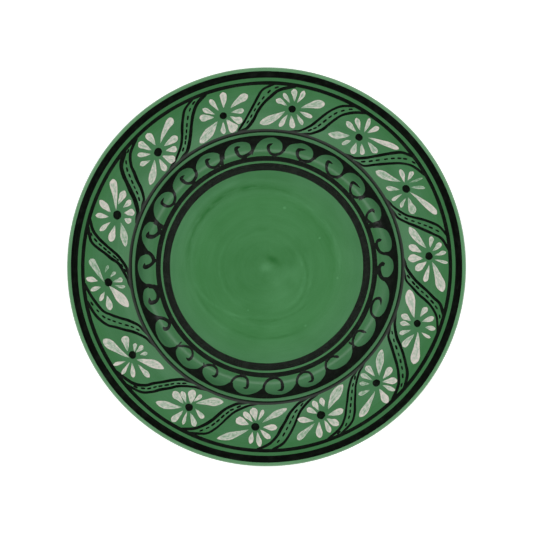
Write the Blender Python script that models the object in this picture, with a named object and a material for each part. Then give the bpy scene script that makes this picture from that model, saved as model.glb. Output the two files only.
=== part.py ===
"""A hand painted ceramic plate, built up in the order in which a potter makes it.

A thrown clay body with a turned foot ring carries three coats of green glaze: one on the face, one on the back
and one in the recess inside the foot. The decoration lies on the face glaze: five black bands and a scroll
frieze, all centred on the axis, fourteen ribbons that lean across the rim, and fourteen daisies with black eyes.

Metres, +Z up. The origin is on the plate's axis, in the plane that the foot ring stands on. The face is
described by its radius and by its slope: the surface normal is (-sin(slope), cos(slope)) in (radius, height).
"""

import math

import bmesh
import bpy

MM = 0.001
DEG = math.pi / 180

# Driving dimensions of the thrown shape.
PLATE_R = 135 * MM
WELL_R = 68 * MM  # where the flat floor turns up into the cavetto
WELL_FLOOR_Z = 10.5 * MM
CAVETTO_ARC = 29 * MM
CAVETTO_SLOPE = 54 * DEG  # how steep the cavetto is just under the shoulder
SHOULDER_ARC = 2.5 * MM
RIM_SLOPE = 8 * DEG
LIP_ARC = 2.6 * MM  # half the rim's thickness, so the lip is a half round
WALL = 5.5 * MM  # the cavetto's thickness
UNDER_RIM_FILLET = 9 * MM
FOOT_FILLET = 2 * MM
FOOT_TAPER = 10 * DEG
FOOT_INNER_R = 62.7 * MM  # where the recess starts to turn down into the foot ring
FOOT_CHAMFER = 0.5 * MM
RECESS_Z = 4.6 * MM
RECESS_FILLET = 1.5 * MM
GLAZE_LINE_Z = 1.6 * MM  # the foot is wiped clean of glaze below this height

# Layers.
GLAZE = 0.4 * MM
PAINT = 0.3 * MM
GAP = 0.3 * MM  # between two layers that touch on the real plate

SEGMENTS = 56  # facets round the plate
SHARP_ANGLE = 35 * DEG  # edges sharper than this are not shaded smooth
WELD = 0.001 * MM

# The painted bands, as (inner radius, outer radius).
WELL_BAND = (65.5 * MM, 70.5 * MM)
WELL_LINE = (71.9 * MM, 75.2 * MM)
FRIEZE_BACK_R = 89.2 * MM
SHOULDER_LINE = (91.1 * MM, 93.4 * MM)
RIM_LINE = (123.1 * MM, 125.6 * MM)
RIM_BAND = (127.8 * MM, 132.4 * MM)

# The motifs that run round the plate. They are spaced by eye, so each has its own place. Angles run clockwise
# from the top of the pattern.
# Each daisy's middle, as (degrees, radius in millimetres).
FLOWER_PLACES = (
    (9.2, 108.2), (35.5, 107.7), (60.8, 108.2), (86.2, 110.2), (110.6, 109.0),
    (136.6, 108.2), (159.8, 106.9), (184.0, 108.6), (208.9, 108.6), (236.7, 108.6),
    (264.4, 107.6), (289.1, 107.0), (316.6, 106.9), (344.0, 106.4),
)
EYE_R = 2.5 * MM
EYE_FACETS = 8
HUB_HOLE_R = EYE_R + GAP
HUB_R = 3.6 * MM
# Each petal as (direction in degrees from clockwise-tangential towards the lip, reach, half width).
PETALS = (
    (28, 21 * MM, 2.7 * MM),
    (68, 12.5 * MM, 1.7 * MM),
    (99, 12.5 * MM, 1.7 * MM),
    (131, 12 * MM, 1.8 * MM),
    (165, 12 * MM, 1.8 * MM),
    (207, 19 * MM, 2.7 * MM),
    (243, 12 * MM, 1.7 * MM),
    (276, 12 * MM, 1.7 * MM),
    (311, 12 * MM, 1.8 * MM),
    (351, 12.5 * MM, 1.7 * MM),
)
PETAL_WIDEST = 0.72  # of its reach

RIBBON_LEAN = 6.8 * DEG  # half the angle that a ribbon sweeps from the shoulder to the rim line
RIBBON_HALF_WIDTH = 2.1 * DEG
RIBBON_CLEARANCE = 0.4 * MM
RIBBON_SPANS = 6

# The top of each scroll's arch, in degrees.
SCROLL_TOPS = (
    2.5, 16.8, 32.2, 47.0, 62.6, 77.8, 90.8, 106.0, 124.5, 142.0, 158.5, 174.2,
    190.7, 205.5, 220.7, 236.5, 253.3, 268.0, 285.5, 301.0, 317.6, 330.6, 346.6,
)
# One scroll's lower edge of black, from the top of its arch to the top of the next arch, as (angle in degrees
# from the arch's top, radius in millimetres): the arch's far side, the inside of the hook up to its tip, the
# outside of the hook back again, and the next arch's near side. A wide or a narrow scroll stretches the angles.
SCROLL_EDGE = (
    (0.0, 87.2), (3.7, 86.2), (5.7, 83.8), (6.1, 80.8), (5.1, 78.1), (3.3, 76.9), (1.3, 77.2),
    (-0.1, 78.9), (-0.1, 81.0), (1.3, 83.2), (-1.3, 83.4), (-1.9, 81.5), (-1.7, 78.2), (0.3, 75.8),
    (3.6, 75.5), (6.4, 76.9), (7.5, 80.0), (9.2, 84.0), (12.0, 86.5),
)

COLOURS = {
    "clay": (0.62, 0.40, 0.26, 1.0),
    "green_glaze": (0.05, 0.18, 0.07, 1.0),
    "black_paint": (0.006, 0.007, 0.006, 1.0),
    "white_paint": (0.60, 0.55, 0.49, 1.0),
}
ROUGHNESS = {"clay": 0.85, "green_glaze": 0.15, "black_paint": 0.25, "white_paint": 0.3}


def normal(slope):
    """The outward unit normal, as (radial, vertical), of a surface with this slope."""
    return -math.sin(slope), math.cos(slope)


def arc(centre, radius, start, end, steps):
    """Stations (radius, height, slope) along an arc. A positive radius bulges out, a negative one is hollow."""
    stations = []
    for i in range(steps + 1):
        slope = start + (end - start) * i / steps
        out, up = normal(slope)
        stations.append((centre[0] + radius * out, centre[1] + radius * up, slope))
    return stations


def offset(stations, distance):
    """The outline's points, moved along the surface normal."""
    points = []
    for r, z, slope in stations:
        out, up = normal(slope)
        points.append((max(0.0, r + distance * out), z + distance * up))
    return points


# Points of the face where one curve hands over to the next.
CAVETTO_CENTRE = (WELL_R, WELL_FLOOR_Z + CAVETTO_ARC)
CAVETTO_END_R = WELL_R + CAVETTO_ARC * math.sin(CAVETTO_SLOPE)
CAVETTO_END_Z = WELL_FLOOR_Z + CAVETTO_ARC * (1 - math.cos(CAVETTO_SLOPE))
SHOULDER_CENTRE = (
    CAVETTO_END_R + SHOULDER_ARC * math.sin(CAVETTO_SLOPE),
    CAVETTO_END_Z - SHOULDER_ARC * math.cos(CAVETTO_SLOPE),
)
RIM_START_R = SHOULDER_CENTRE[0] - SHOULDER_ARC * math.sin(RIM_SLOPE)
RIM_START_Z = SHOULDER_CENTRE[1] + SHOULDER_ARC * math.cos(RIM_SLOPE)
RIM_END_R = PLATE_R - LIP_ARC - LIP_ARC * math.sin(RIM_SLOPE)
RIM_END_Z = RIM_START_Z + (RIM_END_R - RIM_START_R) * math.tan(RIM_SLOPE)
LIP_CENTRE = (PLATE_R - LIP_ARC, RIM_END_Z - LIP_ARC * math.cos(RIM_SLOPE))


def face_at(r):
    """Height and slope of the glazed face at radius r."""
    if r <= WELL_R:
        return WELL_FLOOR_Z, 0.0
    if r <= CAVETTO_END_R:
        slope = math.asin((r - WELL_R) / CAVETTO_ARC)
        return CAVETTO_CENTRE[1] - CAVETTO_ARC * math.cos(slope), slope
    if r <= RIM_START_R:
        slope = math.asin((SHOULDER_CENTRE[0] - r) / SHOULDER_ARC)
        return SHOULDER_CENTRE[1] + SHOULDER_ARC * math.cos(slope), slope
    if r <= RIM_END_R:
        return RIM_START_Z + (r - RIM_START_R) * math.tan(RIM_SLOPE), RIM_SLOPE
    slope = math.asin((LIP_CENTRE[0] - r) / LIP_ARC)
    return LIP_CENTRE[1] + LIP_ARC * math.cos(slope), slope


def face_stations():
    """The glazed face, from the axis to the outermost point of the lip."""
    return (
        [(0.0, WELL_FLOOR_Z, 0.0)]
        + arc(CAVETTO_CENTRE, -CAVETTO_ARC, 0.0, CAVETTO_SLOPE, 6)
        + arc(SHOULDER_CENTRE, SHOULDER_ARC, CAVETTO_SLOPE, RIM_SLOPE, 2)[1:]
        + arc(LIP_CENTRE, LIP_ARC, RIM_SLOPE, -90 * DEG, 3)
    )


def under_rim_fillet():
    """The hollow curve that joins the rim's underside to the cavetto's outside, tangent to both."""
    outer = CAVETTO_ARC + WALL
    out, up = normal(RIM_SLOPE - math.pi)
    along = (math.cos(RIM_SLOPE), math.sin(RIM_SLOPE))
    reach = LIP_ARC + UNDER_RIM_FILLET
    start = (LIP_CENTRE[0] + reach * out - CAVETTO_CENTRE[0], LIP_CENTRE[1] + reach * up - CAVETTO_CENTRE[1])
    half = start[0] * along[0] + start[1] * along[1]
    rest = start[0] ** 2 + start[1] ** 2 - (outer + UNDER_RIM_FILLET) ** 2
    run = -half + math.sqrt(half * half - rest)
    to_centre = (start[0] + run * along[0], start[1] + run * along[1])
    end_slope = -math.atan2(to_centre[0], to_centre[1])
    centre = (CAVETTO_CENTRE[0] + to_centre[0], CAVETTO_CENTRE[1] + to_centre[1])
    return arc(centre, -UNDER_RIM_FILLET, RIM_SLOPE - math.pi, end_slope, 2)


def back_stations(first_slope):
    """The glazed back, from the lip to the glaze line on the outside of the foot ring."""
    fillet = under_rim_fillet()
    outer = CAVETTO_ARC + WALL
    foot_top = -(180 * DEG - RIM_SLOPE)
    cavetto = arc(CAVETTO_CENTRE, outer, fillet[-1][2], foot_top, 3)[1:]
    out, up = normal(foot_top)
    centre = (cavetto[-1][0] + FOOT_FILLET * out, cavetto[-1][1] + FOOT_FILLET * up)
    foot = arc(centre, -FOOT_FILLET, foot_top, -90 * DEG - FOOT_TAPER, 2)[1:]
    drop = foot[-1][1] - GLAZE_LINE_Z
    end = (foot[-1][0] - drop * math.tan(FOOT_TAPER), GLAZE_LINE_Z, foot[-1][2])
    return arc(LIP_CENTRE, LIP_ARC, first_slope, RIM_SLOPE - math.pi, 2) + fillet + cavetto + foot + [end]


def recess_stations():
    """The glazed recess, from the axis to the glaze line on the inside of the foot ring."""
    centre = (FOOT_INNER_R, RECESS_Z - RECESS_FILLET)
    corner = arc(centre, -RECESS_FILLET, 180 * DEG, 90 * DEG + FOOT_TAPER, 2)
    drop = corner[-1][1] - GLAZE_LINE_Z
    end = (corner[-1][0] + drop * math.tan(FOOT_TAPER), GLAZE_LINE_Z, corner[-1][2])
    return [(0.0, RECESS_Z, 180 * DEG)] + corner + [end]


def material(name):
    """The Principled material of one layer, made once and shared."""
    found = bpy.data.materials.get(name)
    if found:
        return found
    made = bpy.data.materials.new(name)
    made.use_nodes = True
    shader = made.node_tree.nodes["Principled BSDF"]
    shader.inputs["Base Color"].default_value = COLOURS[name]
    shader.inputs["Roughness"].default_value = ROUGHNESS[name]
    shader.inputs["Metallic"].default_value = 0.0
    made.diffuse_color = COLOURS[name]
    return made


def add_object(name, bm, layer):
    """Turns a bmesh into a named object of that layer."""
    mesh = bpy.data.meshes.new(name)
    bm.to_mesh(mesh)
    bm.free()
    made = bpy.data.objects.new(name, mesh)
    made.data.materials.append(material(layer))
    bpy.context.scene.collection.objects.link(made)
    return made


def turned(name, outline, layer, closed_loop):
    """A solid of revolution. The outline is a closed loop of (radius, height), or runs from axis to axis."""
    bm = bmesh.new()
    verts = [bm.verts.new((r, 0, z)) for r, z in outline]
    pairs = list(zip(verts, verts[1:]))
    if closed_loop:
        pairs.append((verts[-1], verts[0]))
    edges = [bm.edges.new(pair) for pair in pairs]
    bmesh.ops.spin(
        bm, geom=verts + edges, axis=(0, 0, 1), cent=(0, 0, 0), angle=2 * math.pi, steps=SEGMENTS, use_merge=True
    )
    bmesh.ops.remove_doubles(bm, verts=bm.verts, dist=WELD)
    bmesh.ops.recalc_face_normals(bm, faces=bm.faces)
    made = add_object(name, bm, layer)
    made.data.shade_smooth()
    made.data.set_sharp_from_angle(angle=SHARP_ANGLE)
    return made


def coat(name, stations):
    """A coat of glaze, GLAZE thick, whose outside is the given surface."""
    starts_on_axis = stations[0][0] == 0.0
    outline = offset(stations, 0.0) + offset(stations, -GLAZE)[::-1]
    return turned(name, outline, "green_glaze", closed_loop=not starts_on_axis)


def painted(name, points, faces, layer):
    """A layer of paint on the face glaze. points are (angle, radius); faces are lists of their indices."""
    bm = bmesh.new()
    verts = []
    for angle, r in points:
        z, slope = face_at(r)
        out, up = normal(slope)
        lifted_r, lifted_z = r + GAP * out, z + GAP * up
        verts.append(bm.verts.new((lifted_r * math.sin(angle), lifted_r * math.cos(angle), lifted_z)))
    for face in faces:
        bm.faces.new([verts[i] for i in face])
    bmesh.ops.triangulate(bm, faces=bm.faces)
    for face in bm.faces:
        face.normal_update()
        if face.normal.z < 0:
            face.normal_flip()
    made = add_object(name, bm, layer)
    thicken = made.modifiers.new("Solidify", "SOLIDIFY")
    thicken.thickness = PAINT
    thicken.offset = 1
    return made


def band(name, limits, steps):
    """A painted ring between two radii, in that many steps where the face curves under it."""
    inner, outer = limits
    radii = [inner + (outer - inner) * i / steps for i in range(steps + 1)]
    points = [(2 * math.pi * s / SEGMENTS, r) for s in range(SEGMENTS) for r in radii]
    across = len(radii)
    faces = []
    for s in range(SEGMENTS):
        here, there = s * across, (s + 1) % SEGMENTS * across
        for i in range(steps):
            faces.append([here + i, here + i + 1, there + i + 1, there + i])
    return painted(name, points, faces, "black_paint")


def scroll_frieze(name):
    """The running scroll: a black band whose lower edge breaks into arches, with a hook curled under each."""
    count = len(SCROLL_TOPS)
    points, sectors = [], []
    for n, top in enumerate(SCROLL_TOPS):
        gap = (SCROLL_TOPS[(n + 1) % count] - top) % 360
        stretch = gap * count / 360
        points.append((top * DEG, FRIEZE_BACK_R))
        points.append(((top + gap / 2) * DEG, FRIEZE_BACK_R))
        for degrees, radius in SCROLL_EDGE:
            points.append(((top + degrees * stretch) * DEG, radius * MM))
    stride = 2 + len(SCROLL_EDGE)
    for n in range(count):
        first, following = n * stride, (n + 1) % count * stride
        edge = [first + 2 + i for i in range(len(SCROLL_EDGE))]
        sectors.append([first, first + 1, following, following + 2] + edge[::-1])
    return painted(name, points, sectors, "black_paint")


def ribbon(name, centre_angle):
    """A band that leans across the rim in an S, from just outside the shoulder line to just inside the rim."""
    inner = SHOULDER_LINE[1] + RIBBON_CLEARANCE
    outer = RIM_LINE[0] - RIBBON_CLEARANCE
    points, faces = [], []
    for i in range(RIBBON_SPANS + 1):
        across = 2 * i / RIBBON_SPANS - 1
        r = (inner + outer) / 2 + (outer - inner) / 2 * math.sin(across * math.pi / 2)
        angle = centre_angle + RIBBON_LEAN * across
        points += [(angle - RIBBON_HALF_WIDTH, r), (angle + RIBBON_HALF_WIDTH, r)]
    for i in range(RIBBON_SPANS):
        faces.append([2 * i, 2 * i + 2, 2 * i + 3, 2 * i + 1])
    return painted(name, points, faces, "black_paint")


def flower(name, centre_angle, centre_r):
    """A daisy: its petals, joined by a thin ring round the hole that the eye sits in."""

    def place(direction, distance):
        x, y = distance * math.cos(direction), distance * math.sin(direction)
        return centre_angle + x / centre_r, centre_r + y

    def between(a, b):
        return a + (b - a) % 360 / 2

    count = len(PETALS)
    points, faces = [], []
    for n, (degrees, reach, half_width) in enumerate(PETALS):
        valley = between(PETALS[n - 1][0], degrees) * DEG
        side = half_width / (PETAL_WIDEST * reach)
        points += [
            place(valley, HUB_HOLE_R),
            place(valley, HUB_R),
            place(degrees * DEG - side, PETAL_WIDEST * reach),
            place(degrees * DEG, reach),
            place(degrees * DEG + side, PETAL_WIDEST * reach),
        ]
    for n in range(count):
        here, there = 5 * n, 5 * ((n + 1) % count)
        faces.append([here, here + 1, there + 1, there])
        faces.append([here + 1, here + 2, here + 3, here + 4, there + 1])
    return painted(name, points, faces, "white_paint")


def eye(name, centre_angle, centre_r):
    """The black dot in the middle of a daisy."""
    turns = [2 * math.pi * i / EYE_FACETS for i in range(EYE_FACETS)]
    points = []
    for turn in turns:
        points.append((centre_angle + EYE_R * math.cos(turn) / centre_r, centre_r + EYE_R * math.sin(turn)))
    return painted(name, points, [list(range(EYE_FACETS))], "black_paint")


def clay_body():
    """The thrown body: under the glaze everywhere but on the foot ring, which is bare."""
    inset = -(GLAZE + GAP)
    back = offset(back_stations(-90 * DEG), inset)
    recess = offset(recess_stations(), inset)
    foot_outer, foot_inner = back[-1], recess[-1]
    foot = [
        (foot_outer[0] - FOOT_CHAMFER / 2, FOOT_CHAMFER),
        (foot_outer[0] - 2 * FOOT_CHAMFER, 0.0),
        (foot_inner[0] + 2 * FOOT_CHAMFER, 0.0),
        (foot_inner[0] + FOOT_CHAMFER / 2, FOOT_CHAMFER),
    ]
    outline = offset(face_stations(), inset) + back[1:] + foot + recess[::-1]
    return turned("clay_body", outline, "clay", closed_loop=False)


def main():
    for old in list(bpy.data.objects):
        bpy.data.objects.remove(old)
    clay_body()
    coat("glaze_face", face_stations())
    seam = GAP / LIP_ARC
    coat("glaze_back", back_stations(-90 * DEG - seam))
    coat("glaze_foot_recess", recess_stations())
    band("well_band", WELL_BAND, 1)
    band("well_line", WELL_LINE, 1)
    scroll_frieze("scroll_frieze")
    band("shoulder_line", SHOULDER_LINE, 2)
    band("rim_line", RIM_LINE, 1)
    band("rim_band", RIM_BAND, 1)
    for n, (degrees, r) in enumerate(FLOWER_PLACES):
        following = FLOWER_PLACES[(n + 1) % len(FLOWER_PLACES)][0]
        midway = degrees + (following - degrees) % 360 / 2
        flower(f"flower_{n + 1:02d}", degrees * DEG, r * MM)
        eye(f"flower_eye_{n + 1:02d}", degrees * DEG, r * MM)
        ribbon(f"ribbon_{n + 1:02d}", midway * DEG)


main()
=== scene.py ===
"""The looks of a hand painted ceramic plate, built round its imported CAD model.

Lengths on the plate's face are in millimetres of plan view, as a painter would measure them: (degrees
clockwise from the top of the pattern, radius). rise() puts such a point on the glazed face, in metres.
"""
import math
import random

import bmesh
import bpy
import numpy as np
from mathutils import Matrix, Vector
from mathutils.geometry import delaunay_2d_cdt


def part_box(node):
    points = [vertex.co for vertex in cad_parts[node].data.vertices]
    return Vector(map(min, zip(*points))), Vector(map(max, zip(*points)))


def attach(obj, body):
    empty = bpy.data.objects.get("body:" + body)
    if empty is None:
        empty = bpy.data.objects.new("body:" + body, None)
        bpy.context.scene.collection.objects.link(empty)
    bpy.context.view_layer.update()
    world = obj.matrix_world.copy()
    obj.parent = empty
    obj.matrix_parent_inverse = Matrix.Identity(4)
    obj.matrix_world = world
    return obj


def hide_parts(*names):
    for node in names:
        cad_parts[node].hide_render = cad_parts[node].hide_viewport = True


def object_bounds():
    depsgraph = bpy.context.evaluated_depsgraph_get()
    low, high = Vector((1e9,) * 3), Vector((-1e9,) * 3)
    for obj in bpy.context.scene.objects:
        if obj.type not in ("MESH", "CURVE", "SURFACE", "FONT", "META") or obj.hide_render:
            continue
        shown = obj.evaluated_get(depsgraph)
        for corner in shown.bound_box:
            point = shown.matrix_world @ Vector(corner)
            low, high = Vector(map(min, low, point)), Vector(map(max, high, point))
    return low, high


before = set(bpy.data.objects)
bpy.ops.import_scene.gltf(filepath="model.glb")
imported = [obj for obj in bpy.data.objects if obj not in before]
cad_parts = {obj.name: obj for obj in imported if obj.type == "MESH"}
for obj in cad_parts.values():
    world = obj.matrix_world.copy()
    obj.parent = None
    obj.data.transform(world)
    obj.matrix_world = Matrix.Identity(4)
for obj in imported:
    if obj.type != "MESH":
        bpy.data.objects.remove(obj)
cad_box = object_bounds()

MM = 0.001
DEG = math.pi / 180

# The thrown shape, as in the CAD: radii, heights and arcs in millimetres, slopes in radians.
PLATE_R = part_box("glaze_face")[1].x / MM
GLAZE = 0.4
LAYER_GAP = 0.3  # between the glaze and a painted layer of the CAD
FLOOR_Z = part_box("glaze_face")[0].z / MM + GLAZE
WELL_R = 68.0
CAVETTO_ARC = 29.0
CAVETTO_SLOPE = 54 * DEG
SHOULDER_ARC = 2.5
RIM_SLOPE = 8 * DEG
LIP_ARC = 2.6
WALL = 5.5
UNDER_RIM_FILLET = 9.0
FOOT_FILLET = 2.0
FOOT_TAPER = 10 * DEG
FOOT_INNER_R = 62.7
RECESS_Z = 4.6
RECESS_FILLET = 1.5
GLAZE_LINE_Z = 1.6
CLAY_DEPTH = GLAZE + 0.02  # how far the clay lies under the glaze's surface
# The bare foot's worn edge: how far in from its side, and how high.
FOOT_EDGE = ((0.2, 0.7), (0.5, 0.2), (1.1, 0.0))

AROUND = 340  # segments round the thrown surfaces
SPREAD = 1.4  # the largest step across a thrown surface

# Paint stands this far above the glaze at its edges and at its middle, and goes this far below it.
PAINT_EDGE = 0.015
PAINT_CROWN = 0.045
PAINT_SINK = 0.06
THINNEST = 0.12  # half the width of a stroke's thinnest end
PETAL_FRAY = 0.25  # how uneven a petal's tip is


def normal(slope):
    """The outward unit normal, as (radial, vertical), of a surface with this slope."""
    return -math.sin(slope), math.cos(slope)


def arc(centre, radius, start, end, steps):
    """Stations (radius, height, slope) along an arc. A positive radius bulges, a negative one is hollow."""
    stations = []
    for i in range(steps + 1):
        slope = start + (end - start) * i / steps
        out, up = normal(slope)
        stations.append((centre[0] + radius * out, centre[1] + radius * up, slope))
    return stations


CAVETTO_CENTRE = (WELL_R, FLOOR_Z + CAVETTO_ARC)
CAVETTO_END_R = WELL_R + CAVETTO_ARC * math.sin(CAVETTO_SLOPE)
CAVETTO_END_Z = FLOOR_Z + CAVETTO_ARC * (1 - math.cos(CAVETTO_SLOPE))
SHOULDER_CENTRE = (
    CAVETTO_END_R + SHOULDER_ARC * math.sin(CAVETTO_SLOPE),
    CAVETTO_END_Z - SHOULDER_ARC * math.cos(CAVETTO_SLOPE),
)
RIM_START_R = SHOULDER_CENTRE[0] - SHOULDER_ARC * math.sin(RIM_SLOPE)
RIM_START_Z = SHOULDER_CENTRE[1] + SHOULDER_ARC * math.cos(RIM_SLOPE)
RIM_END_R = PLATE_R - LIP_ARC - LIP_ARC * math.sin(RIM_SLOPE)
RIM_END_Z = RIM_START_Z + (RIM_END_R - RIM_START_R) * math.tan(RIM_SLOPE)
LIP_CENTRE = (PLATE_R - LIP_ARC, RIM_END_Z - LIP_ARC * math.cos(RIM_SLOPE))


def face_at(r):
    """Height and slope of the glazed face at radius r."""
    if r <= WELL_R:
        return FLOOR_Z, 0.0
    if r <= CAVETTO_END_R:
        slope = math.asin((r - WELL_R) / CAVETTO_ARC)
        return CAVETTO_CENTRE[1] - CAVETTO_ARC * math.cos(slope), slope
    if r <= RIM_START_R:
        slope = math.asin((SHOULDER_CENTRE[0] - r) / SHOULDER_ARC)
        return SHOULDER_CENTRE[1] + SHOULDER_ARC * math.cos(slope), slope
    if r <= RIM_END_R:
        return RIM_START_Z + (r - RIM_START_R) * math.tan(RIM_SLOPE), RIM_SLOPE
    slope = math.asin((LIP_CENTRE[0] - r) / LIP_ARC)
    return LIP_CENTRE[1] + LIP_ARC * math.cos(slope), slope


def unevenness(x, y):
    """How far the thrown face strays from true, in height: the rim's warp and the well's throwing rings."""
    r, angle = math.hypot(x, y), math.atan2(x, y)
    warp = 0.22 * (r / PLATE_R) ** 2 * (math.sin(2 * angle + 1.1) + 0.5 * math.sin(3 * angle + 0.4))
    from_centre = math.hypot(x + 1.5, y - 1.0)
    fade = min(1.0, max(0.0, (66 - r) / 10))
    rings = math.sin(from_centre * 1.25 + angle + 0.6 * math.sin(2 * angle))
    return warp + 0.022 * fade * rings + 0.05 * math.exp(-((from_centre / 3.5) ** 2))


def plan(degrees, r):
    """A point of the plan view."""
    return r * math.sin(degrees * DEG), r * math.cos(degrees * DEG)


def rise(x, y, lift=0.0):
    """The point of the face under a point of the plan view, moved out along the surface normal."""
    r = max(math.hypot(x, y), 1e-6)
    z, slope = face_at(r)
    out, up = normal(slope)
    scale = (r + lift * out) / r
    return x * scale * MM, y * scale * MM, (z + lift * up + unevenness(x, y)) * MM


def smooth_line(points, steps):
    """A smooth curve through points, as a numpy array, with that many steps between neighbours."""
    p = np.array(points, float)
    p = np.vstack([2 * p[0] - p[1], p, 2 * p[-1] - p[-2]])
    t = np.linspace(0, 1, steps, endpoint=False)[:, None]
    spans = []
    for a, b, c, d in zip(p, p[1:], p[2:], p[3:]):
        bend = 2 * b + (c - a) * t + (2 * a - 5 * b + 4 * c - d) * t**2
        spans.append(0.5 * (bend + (3 * b - a - 3 * c + d) * t**3))
    spans.append(p[-2][None, :])
    return np.vstack(spans)


def across(line):
    """Unit vectors to the left of a line of plan points."""
    along = np.gradient(line, axis=0)
    along /= np.linalg.norm(along, axis=1)[:, None] + 1e-9
    return np.stack([-along[:, 1], along[:, 0]], axis=1)


# ------------------------------------------------------------
# Meshes


def finished(name, mesh, node_names, surface):
    """Makes a piece of a mesh, with its material and body, and hides the CAD nodes that it stands for."""
    bm = bmesh.new()
    bm.from_mesh(mesh)
    bmesh.ops.recalc_face_normals(bm, faces=bm.faces)
    bm.to_mesh(mesh)
    bm.free()
    mesh.shade_smooth()
    mesh.set_sharp_from_angle(angle=40 * DEG)
    piece = bpy.data.objects.new(name, mesh)
    bpy.context.scene.collection.objects.link(piece)
    mesh.materials.append(surface)
    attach(piece, "root")
    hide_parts(*node_names)
    return piece


def turned(outline, wobble=None):
    """The mesh of a closed outline of (radius, height) turned round the axis, with a wobble in height."""
    verts, faces = [], []
    count = len(outline)
    for s in range(AROUND):
        sin, cos = math.sin(2 * math.pi * s / AROUND), math.cos(2 * math.pi * s / AROUND)
        for r, z in outline:
            x, y = r * sin, r * cos
            verts.append((x * MM, y * MM, (z + (wobble(x, y) if wobble else 0.0)) * MM))
        nxt = (s + 1) % AROUND
        for i in range(count):
            j = (i + 1) % count
            if outline[i][0] == 0.0 and outline[j][0] == 0.0:
                continue
            faces.append((s * count + i, s * count + j, nxt * count + j, nxt * count + i))
    mesh = bpy.data.meshes.new("turned")
    mesh.from_pydata(verts, [], faces)
    bm = bmesh.new()
    bm.from_mesh(mesh)
    bmesh.ops.remove_doubles(bm, verts=bm.verts, dist=1e-7)
    bm.to_mesh(mesh)
    bm.free()
    return mesh


def finely(stations):
    """The same stations with more between them, so no step is longer than SPREAD."""
    out = [stations[0]]
    for before, after in zip(stations, stations[1:]):
        length = math.hypot(after[0] - before[0], after[1] - before[1])
        steps = max(1, math.ceil(length / SPREAD))
        for i in range(1, steps + 1):
            out.append(tuple(a + (b - a) * i / steps for a, b in zip(before, after)))
    return out


def offset(stations, distance):
    """The outline's points, moved along the surface normal."""
    points = []
    for r, z, slope in stations:
        out, up = normal(slope)
        points.append((max(0.0, r + distance * out) if r > 0 else 0.0, z + distance * up))
    return points


def face_stations():
    return finely(
        [(0.0, FLOOR_Z, 0.0)]
        + arc(CAVETTO_CENTRE, -CAVETTO_ARC, 0.0, CAVETTO_SLOPE, 27)
        + arc(SHOULDER_CENTRE, SHOULDER_ARC, CAVETTO_SLOPE, RIM_SLOPE, 8)[1:]
        + arc(LIP_CENTRE, LIP_ARC, RIM_SLOPE, -90 * DEG, 16)
    )


def under_rim_fillet():
    """The hollow curve that joins the rim's underside to the cavetto's outside, tangent to both."""
    outer = CAVETTO_ARC + WALL
    out, up = normal(RIM_SLOPE - math.pi)
    along = (math.cos(RIM_SLOPE), math.sin(RIM_SLOPE))
    reach = LIP_ARC + UNDER_RIM_FILLET
    start = (LIP_CENTRE[0] + reach * out - CAVETTO_CENTRE[0], LIP_CENTRE[1] + reach * up - CAVETTO_CENTRE[1])
    half = start[0] * along[0] + start[1] * along[1]
    rest = start[0] ** 2 + start[1] ** 2 - (outer + UNDER_RIM_FILLET) ** 2
    run = -half + math.sqrt(half * half - rest)
    to_centre = (start[0] + run * along[0], start[1] + run * along[1])
    centre = (CAVETTO_CENTRE[0] + to_centre[0], CAVETTO_CENTRE[1] + to_centre[1])
    return arc(centre, -UNDER_RIM_FILLET, RIM_SLOPE - math.pi, -math.atan2(*to_centre), 10)


def back_stations():
    """The glazed back, from the lip to the glaze line on the outside of the foot ring."""
    fillet = under_rim_fillet()
    foot_top = -(180 * DEG - RIM_SLOPE)
    cavetto = arc(CAVETTO_CENTRE, CAVETTO_ARC + WALL, fillet[-1][2], foot_top, 16)[1:]
    out, up = normal(foot_top)
    centre = (cavetto[-1][0] + FOOT_FILLET * out, cavetto[-1][1] + FOOT_FILLET * up)
    foot = arc(centre, -FOOT_FILLET, foot_top, -90 * DEG - FOOT_TAPER, 8)[1:]
    drop = foot[-1][1] - GLAZE_LINE_Z
    end = (foot[-1][0] - drop * math.tan(FOOT_TAPER), GLAZE_LINE_Z, foot[-1][2])
    lip = arc(LIP_CENTRE, LIP_ARC, -90 * DEG, RIM_SLOPE - math.pi, 14)
    return finely(lip + fillet + cavetto + foot + [end])


def recess_stations():
    """The glazed recess, from the axis to the glaze line on the inside of the foot ring."""
    centre = (FOOT_INNER_R, RECESS_Z - RECESS_FILLET)
    corner = arc(centre, -RECESS_FILLET, 180 * DEG, 90 * DEG + FOOT_TAPER, 8)
    drop = corner[-1][1] - GLAZE_LINE_Z
    end = (corner[-1][0] + drop * math.tan(FOOT_TAPER), GLAZE_LINE_Z, corner[-1][2])
    return finely([(0.0, RECESS_Z, 180 * DEG)] + corner + [end])


def coat(stations):
    """A coat of glaze's closed outline."""
    return offset(stations, 0.0) + offset(stations, -GLAZE)[::-1]


def covered(points, polygons):
    """Which plan points lie inside at least one of some polygons."""
    inside = np.zeros(len(points), bool)
    for polygon in polygons:
        corners = np.array(polygon, float)
        near = np.flatnonzero(((points >= corners.min(0)) & (points <= corners.max(0))).all(1))
        x, y = points[near, 0, None], points[near, 1, None]
        (x0, y0), (x1, y1) = corners.T, np.roll(corners, -1, 0).T
        spans = (y0 > y) != (y1 > y)
        level = np.where(y1 == y0, 1.0, y1 - y0)
        crossings = (spans & (x < x0 + (y - y0) * (x1 - x0) / level)).sum(1)
        inside[near] |= crossings % 2 == 1
    return inside


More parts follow.
